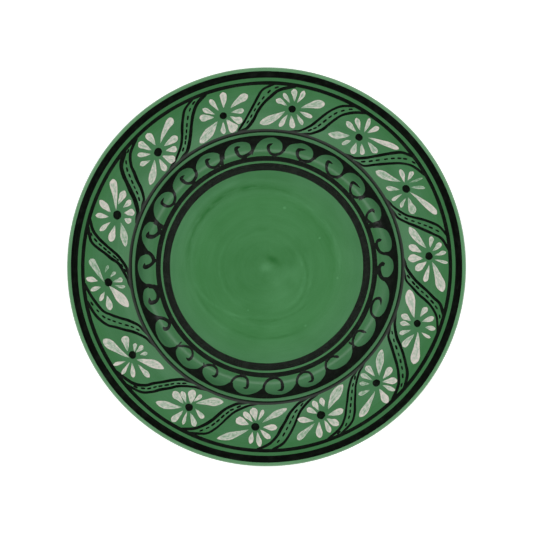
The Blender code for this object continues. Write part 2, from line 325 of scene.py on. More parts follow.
class Paint:
    """Paint on the face: closed slivers of it, collected into one mesh.

    Each point also carries two vectors for the material: "place" (along the stroke from 0 to 1, across it
    from -1 to 1, how well it covers) and "brush" (mm along the stroke, mm across it, the stroke's number).
    """

    def __init__(self):
        self.verts, self.faces, self.place, self.brush = [], [], [], []

    def grid(self, rows, place, brush, wraps=False):
        """One sliver from rows of plan points, with its matching rows of vectors."""
        first = len(self.verts)
        n, m = len(rows), len(rows[0])
        for top in (True, False):
            for i in range(n):
                for j in range(m):
                    v = 2 * j / (m - 1) - 1
                    lift = PAINT_EDGE + PAINT_CROWN * (1 - v * v) if top else -PAINT_SINK
                    self.verts.append(rise(*rows[i][j], lift))
                    self.place.append(place[i][j])
                    self.brush.append(brush[i][j])
        below = n * m

        def at(i, j):
            return first + i % n * m + j

        for i in range(n if wraps else n - 1):
            for j in range(m - 1):
                quad = (at(i, j), at(i, j + 1), at(i + 1, j + 1), at(i + 1, j))
                self.faces.append(quad)
                self.faces.append(tuple(q + below for q in reversed(quad)))
            for j in (0, m - 1):
                self.faces.append((at(i, j), at(i + 1, j), at(i + 1, j) + below, at(i, j) + below))
        if not wraps:
            for i in (0, n - 1):
                for j in range(m - 1):
                    self.faces.append((at(i, j), at(i, j + 1), at(i, j + 1) + below, at(i, j) + below))

    def stroke(self, line, half_widths, cover=1.0, number=0.0, columns=6, fray=0.0):
        """A brush stroke along a line of plan points. Its tip is uneven by fray millimetres."""
        sideways = across(line)
        lengths = np.concatenate([[0], np.cumsum(np.linalg.norm(np.diff(line, axis=0), axis=1))])
        rows, place, brush = [], [], []
        for point, side, half, run in zip(line, sideways, half_widths, lengths):
            row, mark, hair = [], [], []
            for j in range(columns + 1):
                v = 2 * j / columns - 1
                pulled = max(0.0, run / lengths[-1] - 0.7) * fray / 0.3
                along = np.array((side[1], -side[0])) * pulled * math.sin(4.1 * v + 2.3 * number)
                row.append(tuple(point + side * half * v + along))
                mark.append((run / lengths[-1], v, cover))
                hair.append((run, half * v, number))
            rows.append(row)
            place.append(mark)
            brush.append(hair)
        self.grid(rows, place, brush)

    def fill(self, polygons, spacing):
        """One sliver over the union of some plan polygons, with loose points at that spacing inside it."""
        coords, faces = [], []
        for polygon in polygons:
            turn = sum(a[0] * b[1] - b[0] * a[1] for a, b in zip(polygon, list(polygon[1:]) + [polygon[0]]))
            faces.append(list(range(len(coords), len(coords) + len(polygon))))
            coords += [Vector((float(x), float(y))) for x, y in (polygon if turn > 0 else polygon[::-1])]
        radii = [math.hypot(*c) for c in coords]
        r = min(radii) + spacing / 2
        while r < max(radii):
            count = int(2 * math.pi * r / spacing)
            coords += [Vector(plan(360 * k / count + 7 * r, r)) for k in range(count)]
            r += spacing
        points, _, triangles, _, _, _ = delaunay_2d_cdt(coords, [], faces, 0, 1e-4)
        middles = [np.mean([points[v] for v in t], 0) for t in triangles]
        kept = [t for t, inside in zip(triangles, covered(np.array(middles), polygons)) if inside]
        count = {}
        for t in kept:
            for a, b in zip(t, t[1:] + t[:1]):
                count[frozenset((a, b))] = count.get(frozenset((a, b)), 0) + 1
        rim = {v for edge, n in count.items() if n == 1 for v in edge}
        used = sorted({v for t in kept for v in t})
        index = {v: len(self.verts) + i for i, v in enumerate(used)}
        below = len(used)
        for top in (True, False):
            for v in used:
                lift = (PAINT_EDGE if v in rim else PAINT_EDGE + PAINT_CROWN) if top else -PAINT_SINK
                self.verts.append(rise(*points[v], lift))
                self.place.append((0.5, 1.0 if v in rim else 0.0, 1.0))
                self.brush.append((points[v][0], points[v][1], 0.0))
        for t in kept:
            self.faces.append(tuple(index[v] for v in t))
            self.faces.append(tuple(index[v] + below for v in reversed(t)))
            for a, b in zip(t, t[1:] + t[:1]):
                if count[frozenset((a, b))] == 1:
                    self.faces.append((index[b], index[a], index[a] + below, index[b] + below))

    def mesh(self):
        made = bpy.data.meshes.new("paint")
        made.from_pydata(self.verts, [], self.faces)
        for name, values in (("place", self.place), ("brush", self.brush)):
            layer = made.attributes.new(name, "FLOAT_VECTOR", "POINT")
            layer.data.foreach_set("vector", np.array(values, np.float32).ravel())
        return made


def hand(seed, turns, size):
    """A slow waver round the plate, as a function of the angle in degrees: the unsteadiness of a hand."""
    chance = random.Random(seed)
    waves = [(k, chance.uniform(0, 2 * math.pi), size / math.sqrt(k)) for k in range(2, turns)]

    def waver(degrees):
        return sum(a * math.sin(k * degrees * DEG + phase) for k, phase, a in waves) / 2

    return waver


# ------------------------------------------------------------
# Materials


class Graph:
    """A material's or a world's nodes, added by short calls. Values are numbers or other nodes' outputs."""

    def __init__(self, owner, shader="Principled BSDF", **sockets):
        owner.use_nodes = True
        self.owner, self.tree = owner, owner.node_tree
        self.shader = self.tree.nodes[shader]
        for socket, value in sockets.items():
            self.shader.inputs[socket.replace("_", " ")].default_value = value

    def put(self, socket, value):
        if isinstance(value, bpy.types.NodeSocket):
            self.tree.links.new(value, socket)
        elif value is not None:
            socket.default_value = value

    def node(self, kind, *values, out=0, **settings):
        made = self.tree.nodes.new(kind)
        for key, value in settings.items():
            setattr(made, key, value)
        for socket, value in zip(made.inputs, values):
            self.put(socket, value)
        return made.outputs[out]

    def math(self, operation, a, b=0.0, c=0.0):
        return self.node("ShaderNodeMath", a, b, c, operation=operation)

    def vector(self, operation, a, b=(0, 0, 0), out=0):
        return self.node("ShaderNodeVectorMath", a, b, operation=operation, out=out)

    def noise(self, where, scale, detail=2.0, roughness=0.5):
        return self.node("ShaderNodeTexNoise", where, None, scale, detail, roughness)

    def between(self, value, low, high, to_low=0.0, to_high=1.0):
        """value, rescaled and held between two limits."""
        limits = (low, high, to_low, to_high)
        return self.node("ShaderNodeMapRange", value, *limits, interpolation_type="SMOOTHSTEP")

    def mix(self, share, a, b, kind="MIX"):
        values = (share, None, None, None, None, None, a, b)
        return self.node("ShaderNodeMix", *values, out=2, data_type="RGBA", blend_type=kind)

    def ramp(self, value, stops):
        made = self.tree.nodes.new("ShaderNodeValToRGB")
        self.put(made.inputs[0], value)
        elements = made.color_ramp.elements
        while len(elements) < len(stops):
            elements.new(0.5)
        for element, (place, colour) in zip(elements, stops):
            element.position, element.color = place, colour
        return made.outputs[0]

    def tones(self, value, stops):
        return self.ramp(value, [(place, srgb(*colour)) for place, *colour in stops])

    def bump(self, height, distance, strength=1.0):
        made = self.tree.nodes.new("ShaderNodeBump")
        made.inputs["Strength"].default_value = strength
        made.inputs["Distance"].default_value = distance
        self.put(made.inputs["Height"], height)
        self.put(self.shader.inputs["Normal"], made.outputs[0])

    def wheel(self):
        """A point's place in mm, its radius in mm, and the outward unit vector, for marks round the wheel."""
        here = self.vector("SCALE", self.node("ShaderNodeTexCoord", out=3))
        here.node.inputs["Scale"].default_value = 1 / MM
        flat = self.vector("MULTIPLY", here, (1, 1, 0))
        radius = self.vector("LENGTH", flat, out=1)
        return here, radius, self.vector("NORMALIZE", flat)

    def spot(self, here, x, y, long, short, turn):
        """A soft oval: 1 at its middle and 0 at its edge. Lengths in mm, turn in degrees."""
        placed = (here, (x, y, 0), (0, 0, turn * DEG), (long, short, 1000))
        inside = self.node("ShaderNodeMapping", *placed, vector_type="TEXTURE")
        return self.between(self.vector("LENGTH", inside, out=1), 0.0, 1.0, 1.0, 0.0)

    def arc_mark(self, here, x, y, ring, width, towards, spread):
        """A soft arc round (x, y), strongest in the direction towards and gone spread degrees away."""
        away = self.vector("MULTIPLY", self.vector("SUBTRACT", here, (x, y, 0)), (1, 1, 0))
        off = self.math("ABSOLUTE", self.math("SUBTRACT", self.vector("LENGTH", away, out=1), ring))
        facing = self.vector("DOT_PRODUCT", self.vector("NORMALIZE", away), (*plan(towards, 1), 0), out=1)
        window = self.between(facing, math.cos(spread * DEG), 1.0)
        return self.math("MULTIPLY", window, self.between(off, 0.0, width, 1.0, 0.0))

    def streaks(self, radius, outward, fineness, length):
        """Noise drawn out round the wheel: fineness per mm of radius, length in radii round it."""
        lengthwise = self.vector("SCALE", outward)
        lengthwise.node.inputs["Scale"].default_value = 1 / length
        height = self.math("MULTIPLY", radius, fineness)
        where = self.vector("ADD", lengthwise, self.node("ShaderNodeCombineXYZ", 0.0, 0.0, height))
        return self.noise(where, 1.0, 3.0, 0.6)


def srgb(r, g, b):
    """A colour given as 0 to 255, as the linear colour that a shader takes."""
    linear = [((c / 255 + 0.055) / 1.055) ** 2.4 if c > 10 else c / 255 / 12.92 for c in (r, g, b)]
    return (*linear, 1.0)


# Marks that the brush left in the well's glaze. Arcs: centre, radius, width, direction, spread, and how much
# lighter or darker. Dabs: centre, half lengths, turn, and how much lighter or darker.
WELL_ARCS = (
    (-4.2, 4.2, 50.6, 4.8, 322, 66, -0.15),
    (-4.2, 4.2, 49.0, 2.2, 278, 80, -0.13),
    (-4.2, 4.2, 50.0, 2.4, 2, 60, -0.12),
    (-4.2, 4.2, 46.6, 1.8, 270, 70, 0.05),
    (-4.2, 4.2, 54.8, 3.4, 330, 70, 0.08),
    (0.0, 0.0, 49.6, 3.0, 52, 62, 0.16),
    (0.0, 0.0, 45.2, 2.6, 62, 62, -0.12),
    (-1.5, 1.0, 50.5, 2.2, 236, 40, 0.12),
    (0.0, 0.0, 48.5, 1.8, 180, 40, -0.14),
    (0.0, 0.0, 41.0, 4.6, 190, 66, 0.09),
    (-10.0, 10.0, 44.2, 1.8, 205, 46, 0.13),
    (0.0, 0.0, 36.8, 1.8, 165, 60, -0.12),
    (-1.0, -6.0, 26.4, 2.2, 95, 66, 0.13),
    (-1.0, -6.0, 28.8, 1.6, 100, 60, -0.08),
    (-1.0, -6.0, 31.0, 1.6, 105, 60, 0.08),
    (0.0, 0.0, 32.5, 1.5, 258, 52, 0.10),
    (0.0, 0.0, 29.5, 1.8, 265, 60, -0.05),
)
WELL_MARKS = (
    (-0.6, -0.4, 6.4, 5.6, 20, 0.42),
    (4.4, 4.8, 9.6, 4.0, -28, -0.30),
    (6.8, -9.5, 8.0, 15.0, 24, 0.20),
    (15.0, -4.5, 9.5, 8.5, 0, 0.20),
    (21.0, -2.0, 5.0, 15.0, 0, 0.14),
    (8.0, -23.0, 22.0, 10.0, 12, 0.13),
    (-13.6, -15.0, 14.0, 9.0, 20, -0.08),
    (-3.4, 26.0, 8.0, 3.2, 6, -0.09),
    (-22.0, 48.0, 20.0, 6.0, 24, 0.05),
    (-10.0, 60.0, 52.0, 17.0, 10, -0.08),
    (12.2, 40.0, 1.7, 1.4, 0, 0.50),
    (36.0, 19.5, 1.3, 1.1, 30, 0.50),
    (48.1, -7.6, 1.1, 1.4, 0, 0.40),
    (26.4, -40.0, 1.3, 1.1, 0, 0.34),
    (-12.5, -29.5, 1.1, 1.1, 0, 0.34),
)

# The green glaze's colours from middle to edge: share of the plate's radius, then red, green and blue.
# Besides the glaze's own tones they hold painted light. There is painted shade down the cavetto's steep
# wall (0.57 and 0.635), where the glaze also pools deeper, and the soft glow of a painted highlight across
# the cavetto (0.585). The band just inside the shoulder (0.668) is lightened as painted light. The lip
# (0.975 to 1) is lighter partly as painted highlight and partly because the glaze is thinner there.
GLAZE_TONES_AND_PAINTED_LIGHT = (
    (0, 64, 122, 71), (0.34, 65, 124, 72), (0.42, 70, 125, 78), (0.47, 70, 123, 79), (0.545, 69, 120, 76),
    (0.57, 63, 114, 71), (0.585, 71, 121, 80), (0.61, 69, 119, 78), (0.635, 59, 107, 69),
    (0.655, 68, 115, 75), (0.668, 88, 141, 97), (0.695, 79, 126, 87), (0.73, 77, 125, 86),
    (0.78, 67, 117, 76), (0.85, 67, 118, 76), (0.89, 61, 115, 69), (0.95, 59, 112, 67),
    (0.975, 84, 138, 93), (1, 104, 152, 110),
)


def green_glaze():
    g = Graph(bpy.data.materials.new("green_glaze"), Roughness=0.16, Specular_IOR_Level=0.4)
    here, radius, outward = g.wheel()
    # These base tones carry the painted shade and painted highlight of the cavetto, shoulder and lip.
    base = g.tones(g.math("DIVIDE", radius, PLATE_R), GLAZE_TONES_AND_PAINTED_LIGHT)
    broad = g.streaks(radius, outward, 0.22, 0.5)
    fine = g.streaks(radius, outward, 1.3, 0.35)
    cloud = g.noise(here, 0.035, 2.0)
    grain = g.noise(here, 1.6, 2.0)
    from_swirl = g.vector("MULTIPLY", g.vector("ADD", here, (0.9, -0.2, 0.0)), (1, 1.06, 0))
    swirl = g.math("MULTIPLY", g.vector("LENGTH", from_swirl, out=1), 0.22)
    rings = g.noise(g.node("ShaderNodeCombineXYZ", swirl, cloud, 0.0), 1.0, 2.0, 0.65)
    inside = g.between(radius, 40, 66, 1.0, 0.0)
    fine_depth = g.between(radius, 60, 70, 0.012, 0.03)
    shade = g.math("MULTIPLY", g.between(fine, 0.3, 0.7, -1.0, 1.0), fine_depth)
    for noise, half, depth in ((broad, 0.2, 0.035), (cloud, 0.15, 0.05), (grain, 0.2, 0.03)):
        shade = g.math("ADD", shade, g.between(noise, 0.5 - half, 0.5 + half, -depth, depth))
    shade = g.math("ADD", shade, g.math("MULTIPLY", inside, g.between(rings, 0.3, 0.7, -0.03, 0.03)))
    broken = g.between(g.streaks(radius, outward, 0.5, 0.16), 0.35, 0.65, 0.4, 1.35)
    for x, y, ring, width, towards, spread, amount in WELL_ARCS:
        mark = g.math("MULTIPLY", g.arc_mark(here, x, y, ring, width, towards, spread), amount)
        shade = g.math("MULTIPLY_ADD", mark, broken, shade)
    for x, y, long, short, turn, amount in WELL_MARKS:
        shade = g.math("ADD", shade, g.math("MULTIPLY", g.spot(here, x, y, long, short, turn), amount))
    # Where the glaze lies thin it is paler as well as lighter, since the slip below it shows.
    pale, light = (g.math("MULTIPLY_ADD", shade, factor, 1.0) for factor in (1.35, 0.75))
    colour = g.mix(1.0, base, g.node("ShaderNodeCombineXYZ", pale, light, pale), "MULTIPLY")
    g.put(g.shader.inputs["Base Color"], colour)
    g.put(g.shader.inputs["Roughness"], g.between(grain, 0.3, 0.7, 0.09, 0.14))
    g.bump(g.math("ADD", g.math("MULTIPLY", fine, 0.6), g.math("MULTIPLY", grain, 0.3)), 0.03 * MM, 0.6)
    return g.owner


# The black paint's colours from the well band outwards: share of the plate's radius, then red, green, blue.
# The grey stop at 0.689 is a painted highlight along the shoulder line's ridge, where the paint also lies
# thinner.
BLACK_TONES_AND_SHOULDER_HIGHLIGHT = (
    (0.5, 25, 29, 25), (0.53, 20, 25, 20), (0.6, 9, 13, 9), (0.67, 12, 16, 12), (0.678, 20, 25, 20),
    (0.689, 56, 61, 56), (0.7, 10, 14, 10), (0.74, 4, 7, 4), (0.92, 10, 15, 10), (0.94, 3, 4, 3),
)


def black_paint():
    g = Graph(bpy.data.materials.new("black_paint"), Specular_IOR_Level=0.4)
    here, radius, outward = g.wheel()
    fine = g.streaks(radius, outward, 1.6, 0.3)
    cloud = g.noise(here, 0.25, 3.0)
    thin = g.math("ADD", g.between(fine, 0.35, 0.8, 0.0, 0.5), g.between(cloud, 0.45, 0.8, 0.0, 0.5))
    # depth: the paint's tones by radius, including the painted highlight on the shoulder line.
    depth = g.tones(g.math("DIVIDE", radius, PLATE_R), BLACK_TONES_AND_SHOULDER_HIGHLIGHT)
    g.put(g.shader.inputs["Base Color"], g.mix(thin, depth, g.mix(0.16, depth, srgb(60, 78, 60))))
    g.put(g.shader.inputs["Roughness"], g.between(cloud, 0.3, 0.7, 0.12, 0.24))
    g.bump(fine, 0.02 * MM, 0.5)
    return g.owner


# The white paint's colours from bare glaze to full cover: share of cover, then red, green and blue.
WHITE_TONES = ((0, 72, 124, 82), (0.45, 138, 165, 139), (0.7, 174, 185, 169), (1, 207, 200, 191))


def white_paint():
    g = Graph(bpy.data.materials.new("white_paint"), Specular_IOR_Level=0.4)
    place = g.node("ShaderNodeAttribute", attribute_name="place", out=1)
    brush = g.node("ShaderNodeAttribute", attribute_name="brush", out=1)
    along, side, cover = g.node("ShaderNodeSeparateXYZ", place).node.outputs
    hairs = g.noise(g.vector("MULTIPLY", brush, (0.22, 2.2, 7.3)), 1.0, 3.0, 0.6)
    blots = g.noise(g.vector("MULTIPLY", brush, (0.5, 0.6, 3.1)), 1.0, 2.0)
    pooled = g.math("POWER", g.math("ABSOLUTE", side), 2.5)
    pooled = g.math("MAXIMUM", pooled, g.between(along, 0.78, 1.0))
    coverage = g.math("ADD", cover, g.math("MULTIPLY_ADD", pooled, 0.32, -0.07))
    for noise, least, most in ((hairs, -0.26, 0.16), (blots, -0.18, 0.12)):
        coverage = g.math("ADD", coverage, g.between(noise, 0.3, 0.7, least, most))
    coverage = g.math("MULTIPLY", coverage, g.between(along, 0.0, 0.3, 0.75, 1.0))
    colour = g.tones(coverage, WHITE_TONES)
    g.put(g.shader.inputs["Base Color"], colour)
    g.put(g.shader.inputs["Roughness"], g.between(blots, 0.3, 0.7, 0.16, 0.3))
    g.bump(hairs, 0.04 * MM, 0.6)
    return g.owner


def bare_clay():
    g = Graph(bpy.data.materials.new("bare_clay"), Specular_IOR_Level=0.25)
    here, radius, outward = g.wheel()
    turning = g.streaks(radius, outward, 2.5, 0.4)
    grit = g.noise(here, 2.2, 3.0, 0.7)
    colour = g.mix(g.between(grit, 0.3, 0.7), srgb(176, 128, 94), srgb(205, 160, 124))
    colour = g.mix(g.between(turning, 0.45, 0.7, 0.0, 0.4), colour, srgb(150, 104, 76))
    g.put(g.shader.inputs["Base Color"], colour)
    g.put(g.shader.inputs["Roughness"], g.between(grit, 0.3, 0.7, 0.75, 0.95))
    g.bump(g.math("ADD", turning, grit), 0.08 * MM, 0.8)
    return g.owner


def floor_white():
    g = Graph(bpy.data.materials.new("floor_white"), Roughness=0.9, Specular_IOR_Level=0.1)
    g.shader.inputs["Base Color"].default_value = (0.9, 0.9, 0.9, 1)
    g.shader.inputs["Emission Color"].default_value = (1, 1, 1, 1)
    g.shader.inputs["Emission Strength"].default_value = 0.55
    # From below the floor can't be seen, so that the plate's underside can.
    see_through = g.tree.nodes.new("ShaderNodeMixShader")
    g.put(see_through.inputs[0], g.node("ShaderNodeNewGeometry", out=6))
    g.put(see_through.inputs[1], g.shader.outputs[0])
    g.put(see_through.inputs[2], g.node("ShaderNodeBsdfTransparent"))
    g.put(g.tree.nodes["Material Output"].inputs[0], see_through.outputs[0])
    return g.owner


# ------------------------------------------------------------
# The painted pattern

# Each daisy: its eye's size, then its petals, as (degrees and radius at the eye, degrees and radius at the
# tip, all counted from the eye, width, how far along it is widest, how well the white covers). A long petal
# also has how far it bends and how blunt its tip is.
FLOWERS = (
    (2.45, (3.1, 1.8, 10.4, 8.7, 5.7, 0.72, 0.75, 0.8, 2.6),
     (-2.5, -2.2, -11.8, -11, 5.6, 0.6, 0.78, 0.7, 2.2), (-2, 1.8, -5.9, 5.4, 3.6, 0.7, 0.85),
     (-1.1, 3.8, -3.6, 9.8, 2.6, 0.6, 0.8), (0.4, 5.3, -0.5, 13.4, 3.9, 0.72, 0.85),
     (1.4, 4.8, 3, 13.4, 3.3, 0.65, 0.85), (2.9, -0.8, 7.7, -2.2, 2.9, 0.6, 0.9),
     (2, -3, 5.1, -9, 2.7, 0.6, 0.85), (0, -4.5, 1.4, -12.6, 3.8, 0.65, 0.9),
     (-1.4, -4.2, -3.8, -12.8, 3.2, 0.65, 0.9)),
    (2.5, (2.8, 3.6, 12.8, 12.3, 3.6, 0.6, 1, 0.3, 4),
     (-3.2, -2.5, -10.5, -8.4, 4.9, 0.52, 0.7, 0.5, 1.8), (-2, 2, -6.7, 4.3, 3.4, 0.6, 0.85),
     (-1.1, 4.3, -4.3, 10, 3.2, 0.6, 0.85), (0.5, 4.8, -0.7, 14.5, 2.9, 0.6, 0.8),
     (1.5, 5.8, 3.3, 13.6, 3.4, 0.6, 0.95), (3.5, 1.1, 8.5, -0.5, 3.8, 0.65, 0.75),
     (2.1, -2.5, 5, -7.7, 3.2, 0.7, 0.85), (0.3, -4, 1.5, -11.9, 4.2, 0.7, 0.8),
     (-1.8, -4.7, -3.9, -10.1, 2.6, 0.5, 0.8)),
    (2.7, (1.8, 1.3, 11.9, 12.4, 4.2, 0.7, 0.95, 0.5, 5), (-3.3, -0.7, -12, -9.8, 5, 0.65, 0.72, 0.6, 3),
     (-2.3, 1.3, -6.8, 3.8, 3.2, 0.6, 0.95), (-2.2, 3.8, -3.9, 9.8, 3.3, 0.75, 0.85),
     (-1.2, 3.8, -0.4, 13.3, 1.6, 0.5, 0.4), (0.4, 3.3, 2.7, 11.6, 2.2, 0.5, 0.5),
     (3.2, -1.5, 9.4, -2.2, 5, 0.72, 0.7), (3, -3.2, 5.2, -8.9, 2.4, 0.7, 0.75),
     (0.9, -4.2, 1.3, -11.9, 2.4, 0.75, 0.85), (-1, -4.2, -4.3, -11.2, 3, 0.6, 0.8)),
    (2.6, (2.2, 2, 11.8, 10, 6.3, 0.7, 0.88, 0.6, 2), (-2.9, -1.4, -11.7, -10, 5, 0.55, 0.82, 0.5, 2.4),
     (-2.9, 1.4, -6.6, 3.6, 3.2, 0.7, 0.85), (-1.6, 2.8, -3.9, 8.8, 3.4, 0.7, 0.85),
     (-0.1, 3.8, -1, 11.6, 2.6, 0.65, 0.85), (1.4, 3.8, 2.6, 12.4, 2, 0.6, 0.85),
     (3.1, -0.2, 9.1, -2.6, 3.4, 0.7, 0.9), (1.9, -1.9, 5, -9.4, 4.6, 0.6, 0.95),
     (0.7, -4.3, 0.5, -14, 5.2, 0.62, 0.95), (-1.6, -4.9, -4.5, -12.7, 4.6, 0.6, 0.95)),
    (2.4, (2.7, 2.5, 12.9, 10.2, 5.8, 0.72, 0.92, 0.7, 3),
     (-1.6, -3.2, -11.4, -11.2, 6.3, 0.58, 0.95, 0.4, 2.6), (-2.6, 0.6, -6.4, 2.8, 3.6, 0.65, 0.85),
     (-1.2, 2.8, -3.7, 9.4, 3.6, 0.6, 0.9), (0.3, 6, -0.4, 12.6, 3.2, 0.5, 0.9),
     (2.4, 5, 2.8, 11.8, 2, 0.5, 0.95), (4, 0.8, 9.6, -2.2, 4.4, 0.75, 0.75),
     (3, -2.4, 6, -8, 2.8, 0.7, 0.75), (1.4, -4, 2.2, -11, 3.2, 0.6, 0.85),
     (-0.1, -4.7, -1.1, -11.8, 4, 0.6, 0.9)),
    (2.5, (2.4, 3.5, 11.5, 11.4, 4.5, 0.7, 0.8, 0.6, 3),
     (-2.6, -2.2, -11, -12, 5.3, 0.55, 0.72, 0.7, 1.8), (-2.7, 1.2, -7.6, 0.4, 4.4, 0.7, 0.85),
     (-1.8, 2.3, -5.6, 8.8, 4.4, 0.65, 0.9), (-1, 4.1, -2.6, 12.4, 2.8, 0.55, 0.85),
     (0.7, 4.3, 1.8, 14.8, 5, 0.65, 0.95), (3.4, 0.5, 7.6, -1.7, 2.8, 0.65, 0.6),
     (2, -2.9, 4.7, -7.2, 2.6, 0.65, 0.6), (0.4, -3.2, 2.2, -11.2, 3.2, 0.7, 0.75),
     (-1.3, -4.2, -1.8, -12.9, 4.2, 0.7, 0.85)),
    (2.8, (3.1, 3.9, 10, 11.7, 4, 0.72, 0.66, -0.1, 5),
     (-3.2, -1.9, -12.6, -11.9, 6.2, 0.5, 0.75, 0.6, 2.2), (-2.3, 1.8, -8, 2.9, 4.4, 0.65, 0.85),
     (-1.4, 3.6, -4.4, 10.4, 4.6, 0.62, 0.9), (-0.4, 4.1, -0.8, 13.1, 3.6, 0.65, 0.9),
     (1.5, 3.9, 3, 14.1, 4.4, 0.65, 0.95), (3.2, 2.1, 8.6, -1.4, 4, 0.65, 0.95),
     (1.2, -1.9, 4.4, -6.9, 3.6, 0.65, 0.95), (0.3, -3.7, 1.1, -10.6, 3.6, 0.6, 0.95),
     (-2.2, -4.6, -2.4, -10.7, 3.6, 0.5, 0.95)),
    (2.7, (2.3, 2.2, 12.1, 12.4, 4.9, 0.6, 0.72, 0.7, 1.5),
     (-2.5, -3.1, -12.1, -11.4, 4.2, 0.6, 0.75, 0.6, 2), (-2.8, 0.1, -7.7, 0.4, 4.2, 0.6, 0.95),
     (-1.8, 1.7, -5.2, 7.6, 3.6, 0.65, 0.95), (-0.8, 3.4, -1.9, 13, 3.4, 0.6, 0.9),
     (0.9, 3.6, 1.2, 11.6, 3.2, 0.55, 0.95), (2.4, -1.3, 7.2, -3.6, 5.6, 0.65, 0.95),
     (1.1, -3.1, 4.9, -8.8, 3.8, 0.6, 0.95), (0, -4.1, 1.6, -12.6, 5, 0.65, 0.95),
     (-1, -4.6, -2.8, -11.4, 2.6, 0.6, 0.95)),
    (2.6, (2.3, 2.4, 10.3, 9.6, 5.2, 0.62, 0.8, 0.8, 1.8),
     (-1.6, -4.6, -11.2, -12.4, 5.4, 0.6, 0.8, 0.6, 2.2), (-2.2, -1.1, -6.2, 2.4, 3.4, 0.75, 0.8),
     (-1.4, 3.1, -4.8, 9.6, 3.8, 0.7, 0.8), (-0.1, 3.4, -0.9, 12.1, 2.2, 0.6, 0.8),
     (1.3, 4.1, 2.6, 13.9, 4, 0.65, 0.8), (2.4, -0.3, 7.9, -2.9, 4.8, 0.65, 0.85),
     (1.7, -1.6, 5.2, -6.6, 3.4, 0.7, 0.85), (0, -2.9, 2.1, -11.3, 5.6, 0.65, 0.95),
     (-0.5, -4.9, -2, -11.4, 2.8, 0.65, 0.95)),
    (2.6, (-0.1, 2.9, 9.3, 12, 5.8, 0.72, 0.78, 0.5, 3),
     (-2.3, -0.6, -11.3, -10.8, 5.4, 0.52, 0.9, 0.7, 2), (-4, 0.7, -10, 0.4, 3.4, 0.7, 0.85),
     (-2.2, 3.4, -6.3, 8.6, 3.2, 0.65, 0.9), (-1.5, 4.4, -3.3, 13.4, 2.4, 0.7, 0.9),
     (-0.5, 6.2, 0.7, 14.4, 2.6, 0.7, 0.95), (2.1, 1.4, 7.2, -1.6, 5, 0.7, 0.8),
     (0.5, -2.3, 3.1, -5.6, 2.6, 0.75, 0.75), (0, -2.8, 0.6, -9.1, 3.2, 0.75, 0.8),
     (-1.5, -4.3, -2.5, -8.9, 2.4, 0.6, 0.7)),
    (2.75, (0.4, 2.9, 8.2, 11.6, 4.6, 0.75, 0.62, 0.2, 5),
     (-1.4, -0.3, -10.5, -10, 5.9, 0.52, 1, 0.3, 2.6), (-4.6, 2.2, -9.8, 2, 4.2, 0.6, 0.85),
     (-3.1, 3.4, -6, 7.7, 2.8, 0.6, 0.9), (-1.3, 5.4, -2.1, 12.4, 3, 0.5, 0.95),
     (0.8, 7.1, 1.8, 14.8, 3.6, 0.5, 0.95), (3.6, 1.8, 6.1, -0.4, 1.8, 0.6, 0.4),
     (1.8, -1.8, 3.6, -5, 2.2, 0.7, 0.6), (-0.1, -3.1, 0.6, -9.8, 3.2, 0.8, 0.7),
     (-1.4, -4.1, -2.5, -10.6, 2.2, 0.75, 0.65)),
    (2.95, (1.7, 1.9, 10.5, 12.8, 5, 0.84, 0.88, -0.3, 2.6),
     (-2.2, -3.8, -11, -10.4, 4.8, 0.55, 0.66, 0.5, 1.7), (-3.9, -0.5, -9.8, 0.2, 4.4, 0.6, 0.95),
     (-3.1, 3, -6.9, 8.2, 3, 0.6, 0.9), (-1.5, 5.2, -2.3, 13.8, 3.6, 0.6, 0.9),
     (0.3, 5, 2.6, 14.5, 4.4, 0.45, 1), (3.8, 2, 9.1, 2.2, 4.4, 0.6, 0.9),
     (3.4, -2, 6.9, -4.7, 3.6, 0.65, 0.9), (1.6, -4, 3.4, -10, 4.8, 0.65, 0.95),
     (-0.4, -5.3, -0.8, -10.3, 4, 0.6, 0.95)),
    (2.85, (2.8, 3.4, 11, 11.9, 4.8, 0.8, 0.85, 1.1, 4),
     (-3, -2.1, -11.3, -10.5, 4.9, 0.55, 0.8, 0.6, 2.2), (-4.1, -0.1, -7.8, 3.1, 3.2, 0.7, 0.8),
     (-2.4, 2.6, -5.6, 8.6, 3.2, 0.7, 0.85), (-1.2, 4.1, -2.5, 13.6, 4.6, 0.72, 0.85),
     (1, 4.6, 1.5, 14.1, 5, 0.75, 0.9), (3.1, 0.3, 8.9, 0.1, 4.6, 0.65, 0.85),
     (2.4, -2.9, 6.1, -6.7, 4.2, 0.75, 0.9), (0.2, -3.9, 2.6, -12.1, 5.4, 0.72, 0.95),
     (-1.5, -3.9, -3, -12.5, 4, 0.65, 0.95)),
    (2.4, (3.2, 3.8, 9.8, 10.6, 5.1, 0.7, 0.82, 0.7, 2.4),
     (-2.7, -2.4, -12.2, -11, 6.3, 0.52, 0.8, 0.5, 2.2), (-3.4, 0.9, -8.2, 3.8, 4.6, 0.65, 0.85),
     (-2.7, 2.6, -6, 9, 3.2, 0.65, 0.9), (-1.1, 4.3, -2.7, 13, 3.2, 0.65, 0.85),
     (0.9, 5.1, 1.9, 15.3, 4.8, 0.72, 0.95), (3.1, 0.8, 7.7, 0.6, 3.4, 0.7, 0.75),
     (2.3, -1.7, 6.4, -6.6, 4.6, 0.75, 0.85), (0.8, -3.1, 3.3, -11.9, 6.8, 0.78, 0.95),
     (-0.7, -4.1, -1.9, -11.8, 3.4, 0.65, 0.85)),
)

